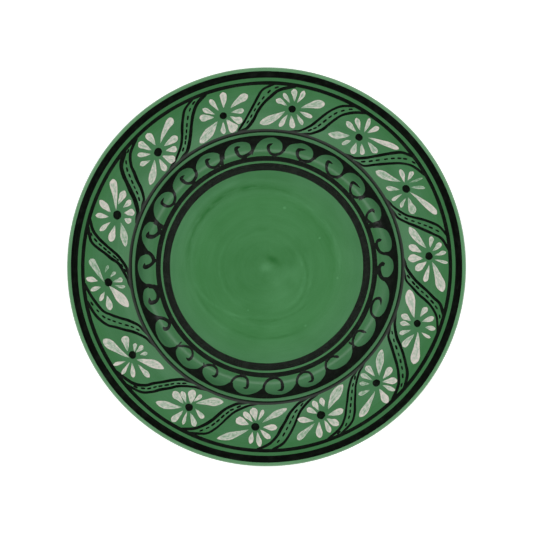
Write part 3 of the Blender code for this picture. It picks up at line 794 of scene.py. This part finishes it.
# Each ribbon: its near line and its far line, as degrees at these radii, their widths, and its dashes' radii.
# The degrees are counted from midway between its two daisies, plus its turn in RIBBON_TURNS.
RIBBON_RADII = (93.9, 95, 100, 105, 110, 115, 120, 123.8)
DASH_HALF = 1.5  # half a dash's length
DASH_HALF_WIDTH = 0.6
RIBBONS = (
    ((-10.6, -8.4, -5, -3.1, -1.5, 0.3, 2.8, 6.3),
     (-6, -3.9, -0.4, 1.2, 2.6, 4.3, 7.3, 10.5),
     (1.2, 1.3), (97, 99.4, 102.4, 106.2, 110.2, 113.8, 117.5, 120.8)),
    ((-11.4, -9.1, -6, -3.9, -2.1, -0.4, 1.5, 4.5),
     (-6.8, -4.4, -2, 0.1, 2.1, 4.1, 7, 11.6),
     (1.4, 1.2), (96.7, 100.4, 104.2, 108.8, 112.6, 116, 118.8, 122)),
    ((-11.1, -8.8, -4.3, -2.1, -0.5, 1.3, 3.4, 6.5),
     (-6.3, -3.9, -0.8, 1.4, 3.5, 5.4, 7.4, 11.2),
     (1.2, 1.3), (96.8, 100, 103.8, 107.5, 111, 114.2, 118)),
    ((-10, -7.7, -3.9, -1.6, 0.2, 2.1, 3.7, 6.7),
     (-5, -2.8, -0.2, 2, 3.5, 5.3, 8.1, 12.4),
     (1.4, 1.2), (96.3, 100, 103, 106.8, 110.4, 114.5, 118, 121.8)),
    ((-12.2, -9.8, -5.6, -3.4, -1.2, 1.1, 3.6, 7.2),
     (-6.2, -4.1, -1.5, 0.8, 2.9, 5.2, 8.2, 12.7),
     (1.4, 1.4), (96, 99.5, 103.3, 107.3, 110.8, 114.3, 118, 121.3)),
    ((-11.6, -9.5, -5.4, -3.1, -1.1, 0.6, 3.2, 8),
     (-7.8, -5.5, -1.9, 0.4, 2.5, 4.4, 7.4, 12.4),
     (1.1, 1.1), (96, 99, 102.3, 106, 109.5, 113, 116, 119.5, 122.3)),
    ((-11.9, -9.6, -5.3, -3.2, -1.4, 0.5, 2.8, 6.3),
     (-7.3, -5, -1.1, 1, 3, 4.7, 7.4, 11.1),
     (1.2, 1.4), (96.3, 99.7, 103.2, 106.5, 110.2, 114, 118.3)),
    ((-11, -8.8, -4.4, -2.1, -0.5, 1.2, 3.6, 8.4),
     (-6.3, -4.1, -0.4, 1.5, 3.1, 5.1, 7.8, 11.2),
     (1.1, 1.5), (96.5, 99.5, 102.3, 105.5, 109.2, 112.5, 116, 119.2)),
    ((-14.2, -11.6, -6.6, -4.2, -1.9, -0.2, 2.4, 7.1),
     (-8.4, -6.1, -2.9, -0.7, 1.4, 3, 6.3, 12.3),
     (1.3, 1.4), (96.6, 98.8, 101.7, 104.6, 108, 111, 114.3, 117.2, 120.2)),
    ((-13.5, -10.8, -6.8, -4.5, -2.3, -0.4, 3.5, 8.7),
     (-7.8, -5.3, -1.9, 0.2, 2.3, 4.7, 9.8, 14.2),
     (1.3, 1.3), (97, 99.5, 102.5, 106.2, 109.5, 112.3, 115.2, 118, 120.7)),
    ((-13.7, -11.2, -5.9, -4, -2.1, -0.6, 1.4, 5.6),
     (-9.7, -7.2, -3.2, -1, 0.8, 2.6, 4.9, 8.2),
     (1.4, 1.4), (95.8, 98, 100.8, 103.2, 107, 110, 113.5, 117, 120.4)),
    ((-12.2, -9.7, -6.2, -4.1, -2.2, -0.5, 1.9, 6.1),
     (-6.5, -4.1, -1.2, 0.5, 2.3, 3.9, 6.8, 11.6),
     (2, 1.5), (97.8, 101, 104.2, 107.5, 111.3, 115, 118.4, 122)),
    ((-13.5, -11.1, -6.2, -3.7, -2, -0.2, 1.9, 5.3),
     (-7.5, -5.1, -2, 0.1, 1.9, 3.8, 6.3, 9.9),
     (1.3, 1.6), (97.5, 100.4, 103.2, 106.5, 110, 114, 118.2, 121.3)),
    ((-8.4, -7.9, -5.2, -3.1, -1.3, 0.3, 2.1, 5.6),
     (-6.8, -4.6, -1.8, -0.1, 1.9, 4.5, 7.5, 12.4),
     (1.2, 1.5), (98.8, 102.5, 106.5, 110.5, 114.3, 118.5, 121.5)),
)

LINE_WEIGHT = 1.35  # a line is this many times as wide as above, before it swells and thins
# How many degrees each ribbon is turned from there, since none is painted just midway.
RIBBON_TURNS = (0.0, 0.25, 0.0, 0.0, 0.3, 0.0, 0.0, 0.0, 0.0, 0.0, 0.25, 0.3, 0.4, 0.15)

# The top of each scroll, in degrees. The frieze is one CAD node, so these repeat the places in its solid.
SCROLL_TOPS = (
    2.5, 16.8, 32.2, 47.0, 62.6, 77.8, 90.8, 106.0, 124.5, 142.0, 158.5, 174.2,
    190.7, 205.5, 220.7, 236.5, 253.3, 268.0, 285.5, 301.0, 317.6, 330.6, 346.6,
)
# Each scroll: the green lobe's outline over its top, then its hook from stem to tip, as (degrees from the
# top, radius), and the hook's width.
SCROLLS = (
    ((-9.9, 76), (-7.9, 81), (-6, 84.5), (-3.5, 86.8), (0, 87.7), (2.5, 86.7), (4.5, 84.6), (5.1, 82),
     (5.7, 81), (5.4, 79), (4, 77.2), (1.5, 76.2), (-0.5, 77.1), (-1.6, 79.8), (-1.4, 82.3), (0.4, 83.8),
     1.25),
    ((-7.9, 79), (-7.1, 82), (-5.6, 84.4), (-2.8, 86.1), (0, 87.1), (3.2, 86.2), (5.2, 84.1), (5.9, 81.5),
     (6.6, 80.5), (6.2, 78.8), (5, 77), (2.2, 75.9), (-0.3, 76.9), (-1.6, 79.5), (-1.4, 82.2),
     (1.9, 83.7), 1.4),
    ((-7.9, 79.5), (-6.7, 83), (-4.7, 85.6), (-2.2, 87), (0, 87.5), (3.1, 86.8), (5.5, 85), (6.4, 81.5),
     (7, 80.5), (6.6, 78.6), (5.2, 76.7), (2.6, 75.5), (0, 77), (-1.4, 79.6), (-1.8, 82.6), (0.6, 83), 1.3),
    ((-7.2, 80.5), (-6.2, 84), (-4.4, 86.2), (-2.2, 87.1), (0, 87.3), (3, 86.4), (5.2, 84.4), (6.1, 81.5),
     (6.8, 80.8), (6.2, 78.8), (5.2, 76.8), (3, 75.6), (0.6, 76.8), (-0.9, 79.3), (-1.2, 82), (3, 83), 1.2),
    ((-7.8, 78), (-7.4, 82), (-5.6, 84.8), (-2.8, 86.2), (0, 86.6), (2.9, 85.4), (4.8, 83), (5.3, 80.5),
     (6.4, 80), (5.7, 78), (4, 76.2), (1.6, 75.2), (-0.2, 77), (-0.9, 79.6), (-0.7, 81.7), (1, 81.7), 1.2),
    ((-7.8, 76.5), (-7, 80.5), (-5.8, 83.5), (-3.8, 85.6), (0, 86.5), (3, 85.9), (4.9, 84), (5, 81),
     (5.8, 80.5), (5.4, 78.8), (4.2, 77.1), (1.8, 76.1), (0, 76.4), (-1, 77.6), (-1.1, 79), (-1, 80.3),
     1.3),
    ((-6.6, 79.5), (-5.8, 83), (-4, 85.3), (-2.2, 86), (0, 86), (2.2, 84.9), (3.9, 82.9), (4.1, 81),
     (5.4, 81), (4.8, 79), (3.5, 77.4), (0.8, 76.3), (-1.1, 76.8), (-2, 78), (-2.3, 79.2), (-2.5, 80.4),
     1.7),
    ((-10.7, 77.5), (-9, 80.5), (-6.8, 83.2), (-4, 85), (0, 85.8), (4.5, 85.5), (7.5, 84), (8.4, 81.8),
     (9, 80.8), (8.4, 78.8), (7, 77), (4, 75.9), (1.3, 76.4), (-0.1, 78), (-0.2, 80.2), (2.6, 81.9), 1.15),
    ((-9, 81.2), (-7, 83.4), (-4.5, 84.8), (-2.5, 85.3), (0, 85.5), (3.5, 84.8), (6.3, 82.7), (7.2, 80),
     (7.9, 80.4), (7.1, 78.2), (5.5, 76.6), (2.7, 75.4), (0.5, 75.9), (-0.4, 77.6), (-0.8, 79.3),
     (-1.2, 81.1), 1.1),
    ((-8.9, 79), (-7.5, 81.5), (-5.2, 83.6), (-2.8, 84.6), (0, 84.8), (3.5, 84), (6, 82), (6.9, 80),
     (7.6, 80.2), (7.1, 78.2), (5.8, 76.2), (3, 75.1), (1.6, 75.6), (0.6, 76.6), (-0.2, 77.6),
     (-0.8, 78.8), 1.1),
    ((-8.4, 80.5), (-7, 83), (-4.7, 85), (-2.5, 86), (0, 86.4), (3.2, 85.9), (5.5, 84.2), (6.3, 82),
     (6.8, 81.3), (6.3, 79.2), (4.9, 76.9), (2.5, 75.7), (-0.1, 76.8), (-1.1, 79.5), (-0.5, 82.9),
     (1.9, 83.2), 1.1),
    ((-8.2, 81.6), (-6.2, 84.4), (-4, 86), (-2.2, 86.8), (0, 87), (3.1, 86.6), (5.6, 85.2), (6.6, 83),
     (7.1, 81.5), (6.5, 79.2), (4.8, 76.7), (1.8, 75.4), (-0.8, 77), (-1.8, 79.6), (-1.4, 83.6),
     (0.8, 84.2), 1.25),
    ((-8.9, 82), (-6.7, 84.7), (-4.7, 86.3), (-2.7, 87.4), (0, 87.7), (2.6, 86.7), (4.7, 84.5), (5.4, 82),
     (6.2, 81), (5.6, 79), (4.3, 77), (1.8, 75.9), (-0.5, 76.7), (-1.4, 79.2), (-1.4, 82.8), (0.3, 83.6),
     1.15),
    ((-7.6, 82.3), (-6, 84.9), (-4, 86.5), (-2.3, 87.3), (0, 87.4), (3.2, 86.3), (5.5, 84.1), (6.5, 81.5),
     (7, 80.5), (6.2, 78.8), (4.8, 77), (2.5, 76.2), (0.5, 77.1), (-0.5, 79.4), (-0.3, 82), (1.3, 82.6),
     1.15),
    ((-7.4, 81), (-6.4, 83.6), (-4.3, 85.8), (-2.5, 87), (0, 87.4), (3.5, 86.5), (6.2, 84.2), (7, 81.5),
     (7.6, 80.6), (6.5, 79), (4.9, 76.9), (2.3, 75.5), (0.1, 76.8), (-1, 79.2), (-0.7, 82.1), (0.9, 82.3),
     1.1),
    ((-7.7, 82), (-6.3, 85.2), (-4.5, 87.1), (-2.5, 87.7), (0, 87.7), (3.5, 86.7), (6.3, 84.4),
     (7.5, 81.5), (8.1, 80.5), (6.9, 78.3), (5.2, 76.7), (3.3, 76.2), (2, 77.8), (1.7, 79.4), (2.1, 80.8),
     (3.5, 81.2), 1.5),
    ((-9.7, 76.5), (-8.3, 79.5), (-6.1, 82.7), (-3.3, 85.2), (0, 86.6), (3.7, 85.9), (6.1, 84.1),
     (6.8, 81.5), (7.7, 80.8), (7, 78.6), (5.4, 76.8), (2.7, 75.9), (0.5, 76.9), (-0.6, 79), (-0.4, 82.4),
     (2, 82.2), 1.6),
    ((-7, 76.3), (-6.6, 80), (-5.6, 83.2), (-3.4, 85.6), (0, 87), (3.3, 87.2), (6.4, 85.8), (7.9, 82.5),
     (8.9, 81), (8.1, 79), (6.9, 77.5), (5, 76.7), (3.4, 78), (2.4, 80), (1.9, 82.6), (3.8, 82.8), 1.6),
    ((-9.8, 76.5), (-8.3, 80), (-5.9, 83.4), (-3.3, 86.1), (0, 87.5), (3, 87), (5.3, 85.2), (5.9, 83),
     (6.8, 81.2), (6.2, 79.2), (4.8, 77.7), (2.5, 76.6), (0.5, 78), (-0.7, 80), (-0.9, 83.2), (1.3, 83.3),
     1.7),
    ((-9.1, 77.5), (-8, 80.7), (-6, 84), (-3.2, 86.4), (0, 87.3), (3.8, 86.4), (6, 84.3), (6.9, 82),
     (7.6, 81), (6.9, 79), (5.6, 77.3), (3.3, 76.4), (1.2, 77.4), (0.2, 79.6), (0.4, 83.1), (3, 84), 1.25),
    ((-8.7, 78.5), (-7.6, 82.5), (-6, 84.8), (-3.2, 86.3), (0, 87.1), (3.2, 86.1), (5.1, 83.8), (5.3, 81),
     (5.8, 80.5), (5.3, 78.9), (4, 77.4), (1.4, 76.4), (-0.6, 77.4), (-1.7, 79.8), (-1.6, 83.2),
     (0.6, 83.4), 1.4),
    ((-7.4, 77.5), (-6.7, 80.8), (-5.4, 83.6), (-3.1, 85.9), (0, 86.9), (3.6, 86), (6.1, 83.7), (6.8, 81),
     (7.6, 80.5), (6.7, 78.6), (5.2, 76.9), (2.7, 75.9), (0.5, 77), (-0.5, 79.4), (0, 82.6), (2, 82.6),
     1.35),
    ((-7.9, 78), (-7, 81.5), (-5.6, 84), (-3.3, 85.9), (0, 86.6), (3.4, 85.9), (5.4, 84.2), (5.9, 81.5),
     (6.8, 80.5), (6, 78.8), (4.3, 77.3), (1.9, 76.4), (0, 77), (-1, 79.4), (-1, 82.8), (1.1, 83.4), 1.5),
)
SCROLL_LOBE_POINTS = 8
SCROLL_TOP = 4  # which of those points is the top of the lobe
# How a hook's width goes, from the stem to its pointed tip.
HOOK_PLACES = (0.0, 0.2, 0.45, 0.65, 0.8, 0.88, 0.95, 1.0)
HOOK_WIDTHS = (1.6, 1.5, 1.6, 1.35, 1.8, 1.75, 1.0, 0.15)
FRIEZE_INNER_R = 88.3  # the inner edge of the frieze's back, which overlaps the arches
ARCH_TOP_R = 88.6  # how far out the paint between two arches goes
FRIEZE_STEPS = 240
HOOK_FOOT_R = 74.8  # how far in the paint under a hook's belly goes
HOOK_BELLY_R = 76.3  # below this radius a thin hook's belly is filled
THIN_HOOK = 1.1
BELLY_STEP = 1.6  # how much further out that is for each mm of width more
BELLY_END = 0.75  # the share of a hook's length that can have such a belly
HOOK_ROOT = 1.8  # how far its stem goes into the back
# Short strokes that run on from the stems: degrees and radius at both ends, and width.
TAILS = (
    (38.9, 79.5, 38.6, 76.2, 0.8), (53.6, 80.5, 54.2, 77.3, 0.9), (68.7, 82.5, 68.5, 74.9, 3.2),
    (132.0, 79.0, 132.5, 75.7, 1.5), (212.3, 79.5, 213.2, 77.8, 0.9), (228.2, 81.0, 228.6, 77.0, 1.0),
    (260.6, 81.0, 259.4, 75.0, 2.7), (291.8, 82.0, 290.9, 75.0, 2.8), (337.7, 82.0, 336.6, 75.0, 2.2),
)

# Painted rings: the CAD node, and its width.
BANDS = (("well_band", 5.0), ("well_line", 3.3), ("shoulder_line", 2.3), ("rim_line", 2.5), ("rim_band", 4.6))


def outer_radius(node):
    """Where the outer edge of a painted ring of the CAD lies on the glaze, a gap below it."""
    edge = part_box(node)[1].x / MM
    return edge + LAYER_GAP * math.sin(face_at(edge)[1])


def place_of(node):
    """The middle of a CAD node, as (degrees, radius)."""
    low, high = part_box(node)
    x, y = (low.x + high.x) / 2 / MM, (low.y + high.y) / 2 / MM
    return math.atan2(x, y) / DEG % 360, math.hypot(x, y)


EYE_PLACES = [place_of(f"flower_eye_{n + 1:02d}") for n in range(len(FLOWERS))]


def midway(index):
    """The angle halfway from a daisy to the next, where the ribbon between them crosses the rim."""
    here, following = EYE_PLACES[index][0], EYE_PLACES[(index + 1) % len(EYE_PLACES)][0]
    return here + (following - here) % 360 / 2


def band(inner, outer, seed):
    """A ring painted on the turning wheel, with edges that waver a little."""
    paint, low, high = Paint(), hand(seed, 24, 0.09), hand(seed + 100, 24, 0.09)
    columns = 8
    rows, place, brush = [], [], []
    for k in range(720):
        degrees = k / 2
        near, far = inner + low(degrees), outer + high(degrees)
        radii = [near + (far - near) * j / columns for j in range(columns + 1)]
        rows.append([plan(degrees, r) for r in radii])
        place.append([(0.5, 2 * j / columns - 1, 1.0) for j in range(columns + 1)])
        brush.append([(degrees, r, 0.0) for r in radii])
    paint.grid(rows, place, brush, wraps=True)
    return paint.mesh()


def petal(paint, petal_spec, place, number, chance):
    """One stroke of white, pointed at the eye and blunt at its tip, bent a little as the wrist turns."""
    a0, r0, a1, r1, width, widest, cover = petal_spec[:7]
    bend, blunt = petal_spec[7:] or (chance.uniform(-0.25, 0.25), chance.uniform(2.2, 4.0))
    degrees, r = place
    start, end = np.array(plan(degrees + a0, r + r0)), np.array(plan(degrees + a1, r + r1))
    u = (1 - np.cos(np.linspace(0, math.pi, 21))) / 2
    line = start + (end - start) * u[:, None]
    side = across(line)
    shift = bend * np.sin(math.pi * u) + chance.uniform(0.04, 0.1) * np.sin(u * chance.uniform(6, 12))
    line = line + side * shift[:, None]
    opening = np.clip(u / widest, 0, 1) ** 0.8
    closing = np.clip(1 - np.clip((u - widest) / (1 - widest), 0, 1) ** blunt, 0, 1) ** 0.6
    uneven = 1 + 0.05 * np.sin(u * chance.uniform(6, 12) + chance.uniform(0, 6))
    half = width / 2 * opening * closing * uneven
    paint.stroke(line, np.maximum(half, THINNEST), cover, number, 8, PETAL_FRAY)


def flower(index, spec):
    paint, chance = Paint(), random.Random(index)
    for n, petal_spec in enumerate(spec[1:]):
        petal(paint, petal_spec, EYE_PLACES[index - 1], index * 10 + n, chance)
    return paint.mesh()


def eye(index, spec):
    """A dab of black: a stroke so short that it is round."""
    size, (degrees, r) = spec[0], EYE_PLACES[index - 1]
    paint, chance = Paint(), random.Random(500 + index)
    centre = np.array(plan(degrees, r))
    axis = np.array(plan(degrees + 90 + chance.uniform(-25, 25), 1))
    t = np.linspace(0, math.pi, 21)
    line = centre - axis * (1.05 * size * np.cos(t))[:, None]
    dents = 1 + 0.05 * np.sin(2 * t + chance.uniform(0, 6)) + 0.03 * np.sin(5 * t + chance.uniform(0, 6))
    paint.stroke(line, np.maximum(0.96 * size * np.sin(t) * dents, 0.15), 1.0, index, 10)
    return paint.mesh()


def ribbon(index, spec):
    near, far, widths, dashes = spec
    across_at = midway(index - 1) + RIBBON_TURNS[index - 1]
    near, far = ([across_at + degrees for degrees in line] for line in (near, far))
    # Each line runs on inwards at the same slant, so that it ends inside the shoulder line.
    radii = (2 * RIBBON_RADII[0] - RIBBON_RADII[1],) + RIBBON_RADII
    paint, chance = Paint(), random.Random(900 + index)
    for degrees, width in zip((near, far), widths):
        run_on = [2 * degrees[0] - degrees[1]] + degrees
        line = smooth_line([plan(a, r) for a, r in zip(run_on, radii)], 8)
        u = np.linspace(0, 1, len(line))
        swell = 0.75 + 0.3 * np.clip(u * 3, 0, 1)
        slow, quick = chance.uniform(0, 6), chance.uniform(0, 6)
        uneven = 1 + 0.07 * np.sin(u * 11 + slow) + 0.04 * np.sin(u * 29 + quick)
        paint.stroke(line, LINE_WEIGHT * width / 2 * swell * uneven)
    middle = [(a + b) / 2 for a, b in zip(near, far)]
    for r in dashes:
        ends = [np.array(plan(np.interp(at, RIBBON_RADII, middle), at)) for at in (r - 0.4, r + 0.4)]
        grown = chance.uniform(0.85, 1.15)
        along = (ends[1] - ends[0]) / np.linalg.norm(ends[1] - ends[0]) * DASH_HALF * grown
        u = np.linspace(-1, 1, 9)
        line = (ends[0] + ends[1]) / 2 + along * u[:, None]
        half = DASH_HALF_WIDTH * grown * np.sqrt(1 - u**4)
        paint.stroke(line, np.maximum(half, THINNEST), columns=4)
    return paint.mesh()


def hook(points, width):
    """A scroll's hook, in short lengths, and the paint between its belly and the line below it."""
    points = [(points[0][0], points[0][1] + HOOK_ROOT)] + list(points)
    degrees, radii = smooth_line(points, 7).T
    line = np.array([plan(a, r) for a, r in zip(degrees, radii)])
    u = np.linspace(0, 1, len(line))
    half = width / 2 * np.interp(u, HOOK_PLACES, HOOK_WIDTHS)
    side = across(line) * half[:, None]
    left, right = line + side, line - side
    lengths = [[a, b, d, c] for a, b, c, d in zip(left, left[1:], right, right[1:])]
    belly = HOOK_BELLY_R + BELLY_STEP * (width - THIN_HOOK)
    for k in range(len(u) - 1):
        if u[k] < BELLY_END and max(radii[k], radii[k + 1]) < belly:
            low = [plan(degrees[k + 1], HOOK_FOOT_R), plan(degrees[k], HOOK_FOOT_R)]
            lengths.append([tuple(line[k]), tuple(line[k + 1])] + low)
    return lengths


def scroll_frieze():
    """The running scroll: a black back with arches in its lower edge, and a hook under each arch."""
    polygons = []
    waver = hand(77, 20, 0.1)
    back = outer_radius("scroll_frieze")
    for k in range(FRIEZE_STEPS):
        a, b = 360 * k / FRIEZE_STEPS, 360 * (k + 1) / FRIEZE_STEPS
        outer = [plan(d, back + waver(d)) for d in (a, b)]
        polygons.append([plan(a, FRIEZE_INNER_R), *outer, plan(b, FRIEZE_INNER_R)])
    count = len(SCROLLS)
    for n, spec in enumerate(SCROLLS):
        following = SCROLLS[(n + 1) % count]
        top, next_top = SCROLL_TOPS[n], SCROLL_TOPS[(n + 1) % count]
        next_top = top + (next_top - top) % 360
        lobe = [plan(top + a, r) for a, r in spec[:SCROLL_LOBE_POINTS]]
        next_lobe = [plan(next_top + a, r) for a, r in following[:SCROLL_LOBE_POINTS]]
        down = smooth_line(lobe[SCROLL_TOP - 1:], 8)[8:]
        up = smooth_line(next_lobe[: SCROLL_TOP + 2], 8)[:-8]
        across_top = [plan(next_top + (top - next_top) * k / 12, ARCH_TOP_R) for k in range(13)]
        polygons.append([tuple(p) for p in down] + [tuple(p) for p in up] + across_top)
        polygons += hook([(top + a, r) for a, r in spec[SCROLL_LOBE_POINTS:-1]], spec[-1])
    for a0, r0, a1, r1, width in TAILS:
        line = np.array([plan(a0, r0), plan(a1, r1)])
        side = across(line) * width / 2
        polygons.append([line[0] + side[0], line[1] + side[1], line[1] - side[1], line[0] - side[0]])
    paint = Paint()
    paint.fill(polygons, 1.1)
    return paint.mesh()


# ------------------------------------------------------------
# Camera, light, floor


# The camera looks straight down. The plate takes up this share of its view's width.
VIEW = 5.0
PLATE_SHARE = 0.7493
# The dome's grey at heights from the horizon (0) to overhead (1), and the ring of light on it.
DOME = ((0.0, 0.9), (0.01, 0.06), (0.8, 0.17), (0.95, 0.05))
RING_Z = 0.721
RING_DIP = 0.36
RING_SKEW = 0.12
RING_HALF = 0.06
RING_LIGHT = 2.1
CAMERA_SIDE = (-0.00005, 0.00022)  # how far off the plate's axis the camera stands
LAMP_HEIGHT = 3
LAMP_SIZE = 3.0
LAMP_POWER = 77.5
FLOOR_R = 4
FLOOR_DROP = 0.0002


def stage_set():
    height = cad_box[1].z
    span = 2 * PLATE_R * MM / PLATE_SHARE
    camera = bpy.data.objects.new("camera", bpy.data.cameras.new("camera"))
    camera.data.sensor_width = 36
    camera.data.lens = camera.data.sensor_width * VIEW / span
    camera.data.clip_end = 50
    camera.location = (*CAMERA_SIDE, height + VIEW)
    bpy.context.scene.collection.objects.link(camera)
    bpy.context.scene.camera = camera

    soft = bpy.data.lights.new("overhead", "AREA")
    soft.shape, soft.size, soft.energy = "DISK", LAMP_SIZE, LAMP_POWER
    lamp = bpy.data.objects.new("overhead", soft)
    lamp.location = (0, 0, LAMP_HEIGHT)
    lamp.visible_glossy = False
    lamp.visible_camera = False
    bpy.context.scene.collection.objects.link(lamp)

    # The dome is dim, with a paler ring of soft light round it, gone at the left and right.
    sky = Graph(bpy.data.worlds.new("studio"), "Background")
    bpy.context.scene.world = sky.owner
    x, y, z = sky.node("ShaderNodeSeparateXYZ", sky.node("ShaderNodeTexCoord")).node.outputs
    dome = sky.ramp(z, [(at, (grey, grey, grey, 1)) for at, grey in DOME])
    skewed = sky.math("MULTIPLY_ADD", sky.math("MAXIMUM", y, 0.0), RING_SKEW, x)
    dip = sky.math("MULTIPLY", sky.math("POWER", sky.math("ABSOLUTE", skewed), 4.0), RING_DIP)
    off = sky.math("ABSOLUTE", sky.math("SUBTRACT", sky.math("ADD", z, dip), RING_Z))
    ring = sky.between(off, 0.0, RING_HALF, RING_LIGHT, 0.0)
    ring = sky.math("MULTIPLY", ring, sky.between(sky.math("ABSOLUTE", y), 0.1, 0.4))
    sky.put(sky.shader.inputs["Color"], sky.mix(1.0, dome, ring, "ADD"))

    place = (0, 0, -FLOOR_DROP)
    bpy.ops.mesh.primitive_circle_add(vertices=96, radius=FLOOR_R, fill_type="NGON", location=place)
    floor = bpy.context.object
    floor.name = "floor"
    floor.data.materials.append(floor_white())

    bpy.context.scene.view_settings.view_transform = "Standard"


def build():
    glaze, black, white = green_glaze(), black_paint(), white_paint()
    face = face_stations()
    finished("face_glaze", turned(coat(face), unevenness), ["glaze_face"], glaze)
    back, recess = back_stations(), recess_stations()
    finished("back_glaze", turned(coat(back), unevenness), ["glaze_back"], glaze)
    finished("recess_glaze", turned(coat(recess)), ["glaze_foot_recess"], glaze)
    clay = offset(face, -CLAY_DEPTH) + offset(back, -CLAY_DEPTH)[1:]
    inner = offset(recess, -CLAY_DEPTH)
    clay += [(clay[-1][0] - inset, z) for inset, z in FOOT_EDGE]
    clay += [(inner[-1][0] + inset, z) for inset, z in reversed(FOOT_EDGE)]
    clay += inner[::-1]
    finished("clay", turned(clay), ["clay_body"], bare_clay())

    for n, (node, width) in enumerate(BANDS):
        outer = outer_radius(node)
        finished(f"painted_{node}", band(outer - width, outer, n), [node], black)
    finished("painted_frieze", scroll_frieze(), ["scroll_frieze"], black)
    for n, spec in enumerate(FLOWERS, 1):
        finished(f"daisy_{n:02d}", flower(n, spec), [f"flower_{n:02d}"], white)
        finished(f"daisy_eye_{n:02d}", eye(n, spec), [f"flower_eye_{n:02d}"], black)
    for n, spec in enumerate(RIBBONS, 1):
        finished(f"painted_ribbon_{n:02d}", ribbon(n, spec), [f"ribbon_{n:02d}"], black)


stage_set()
build()
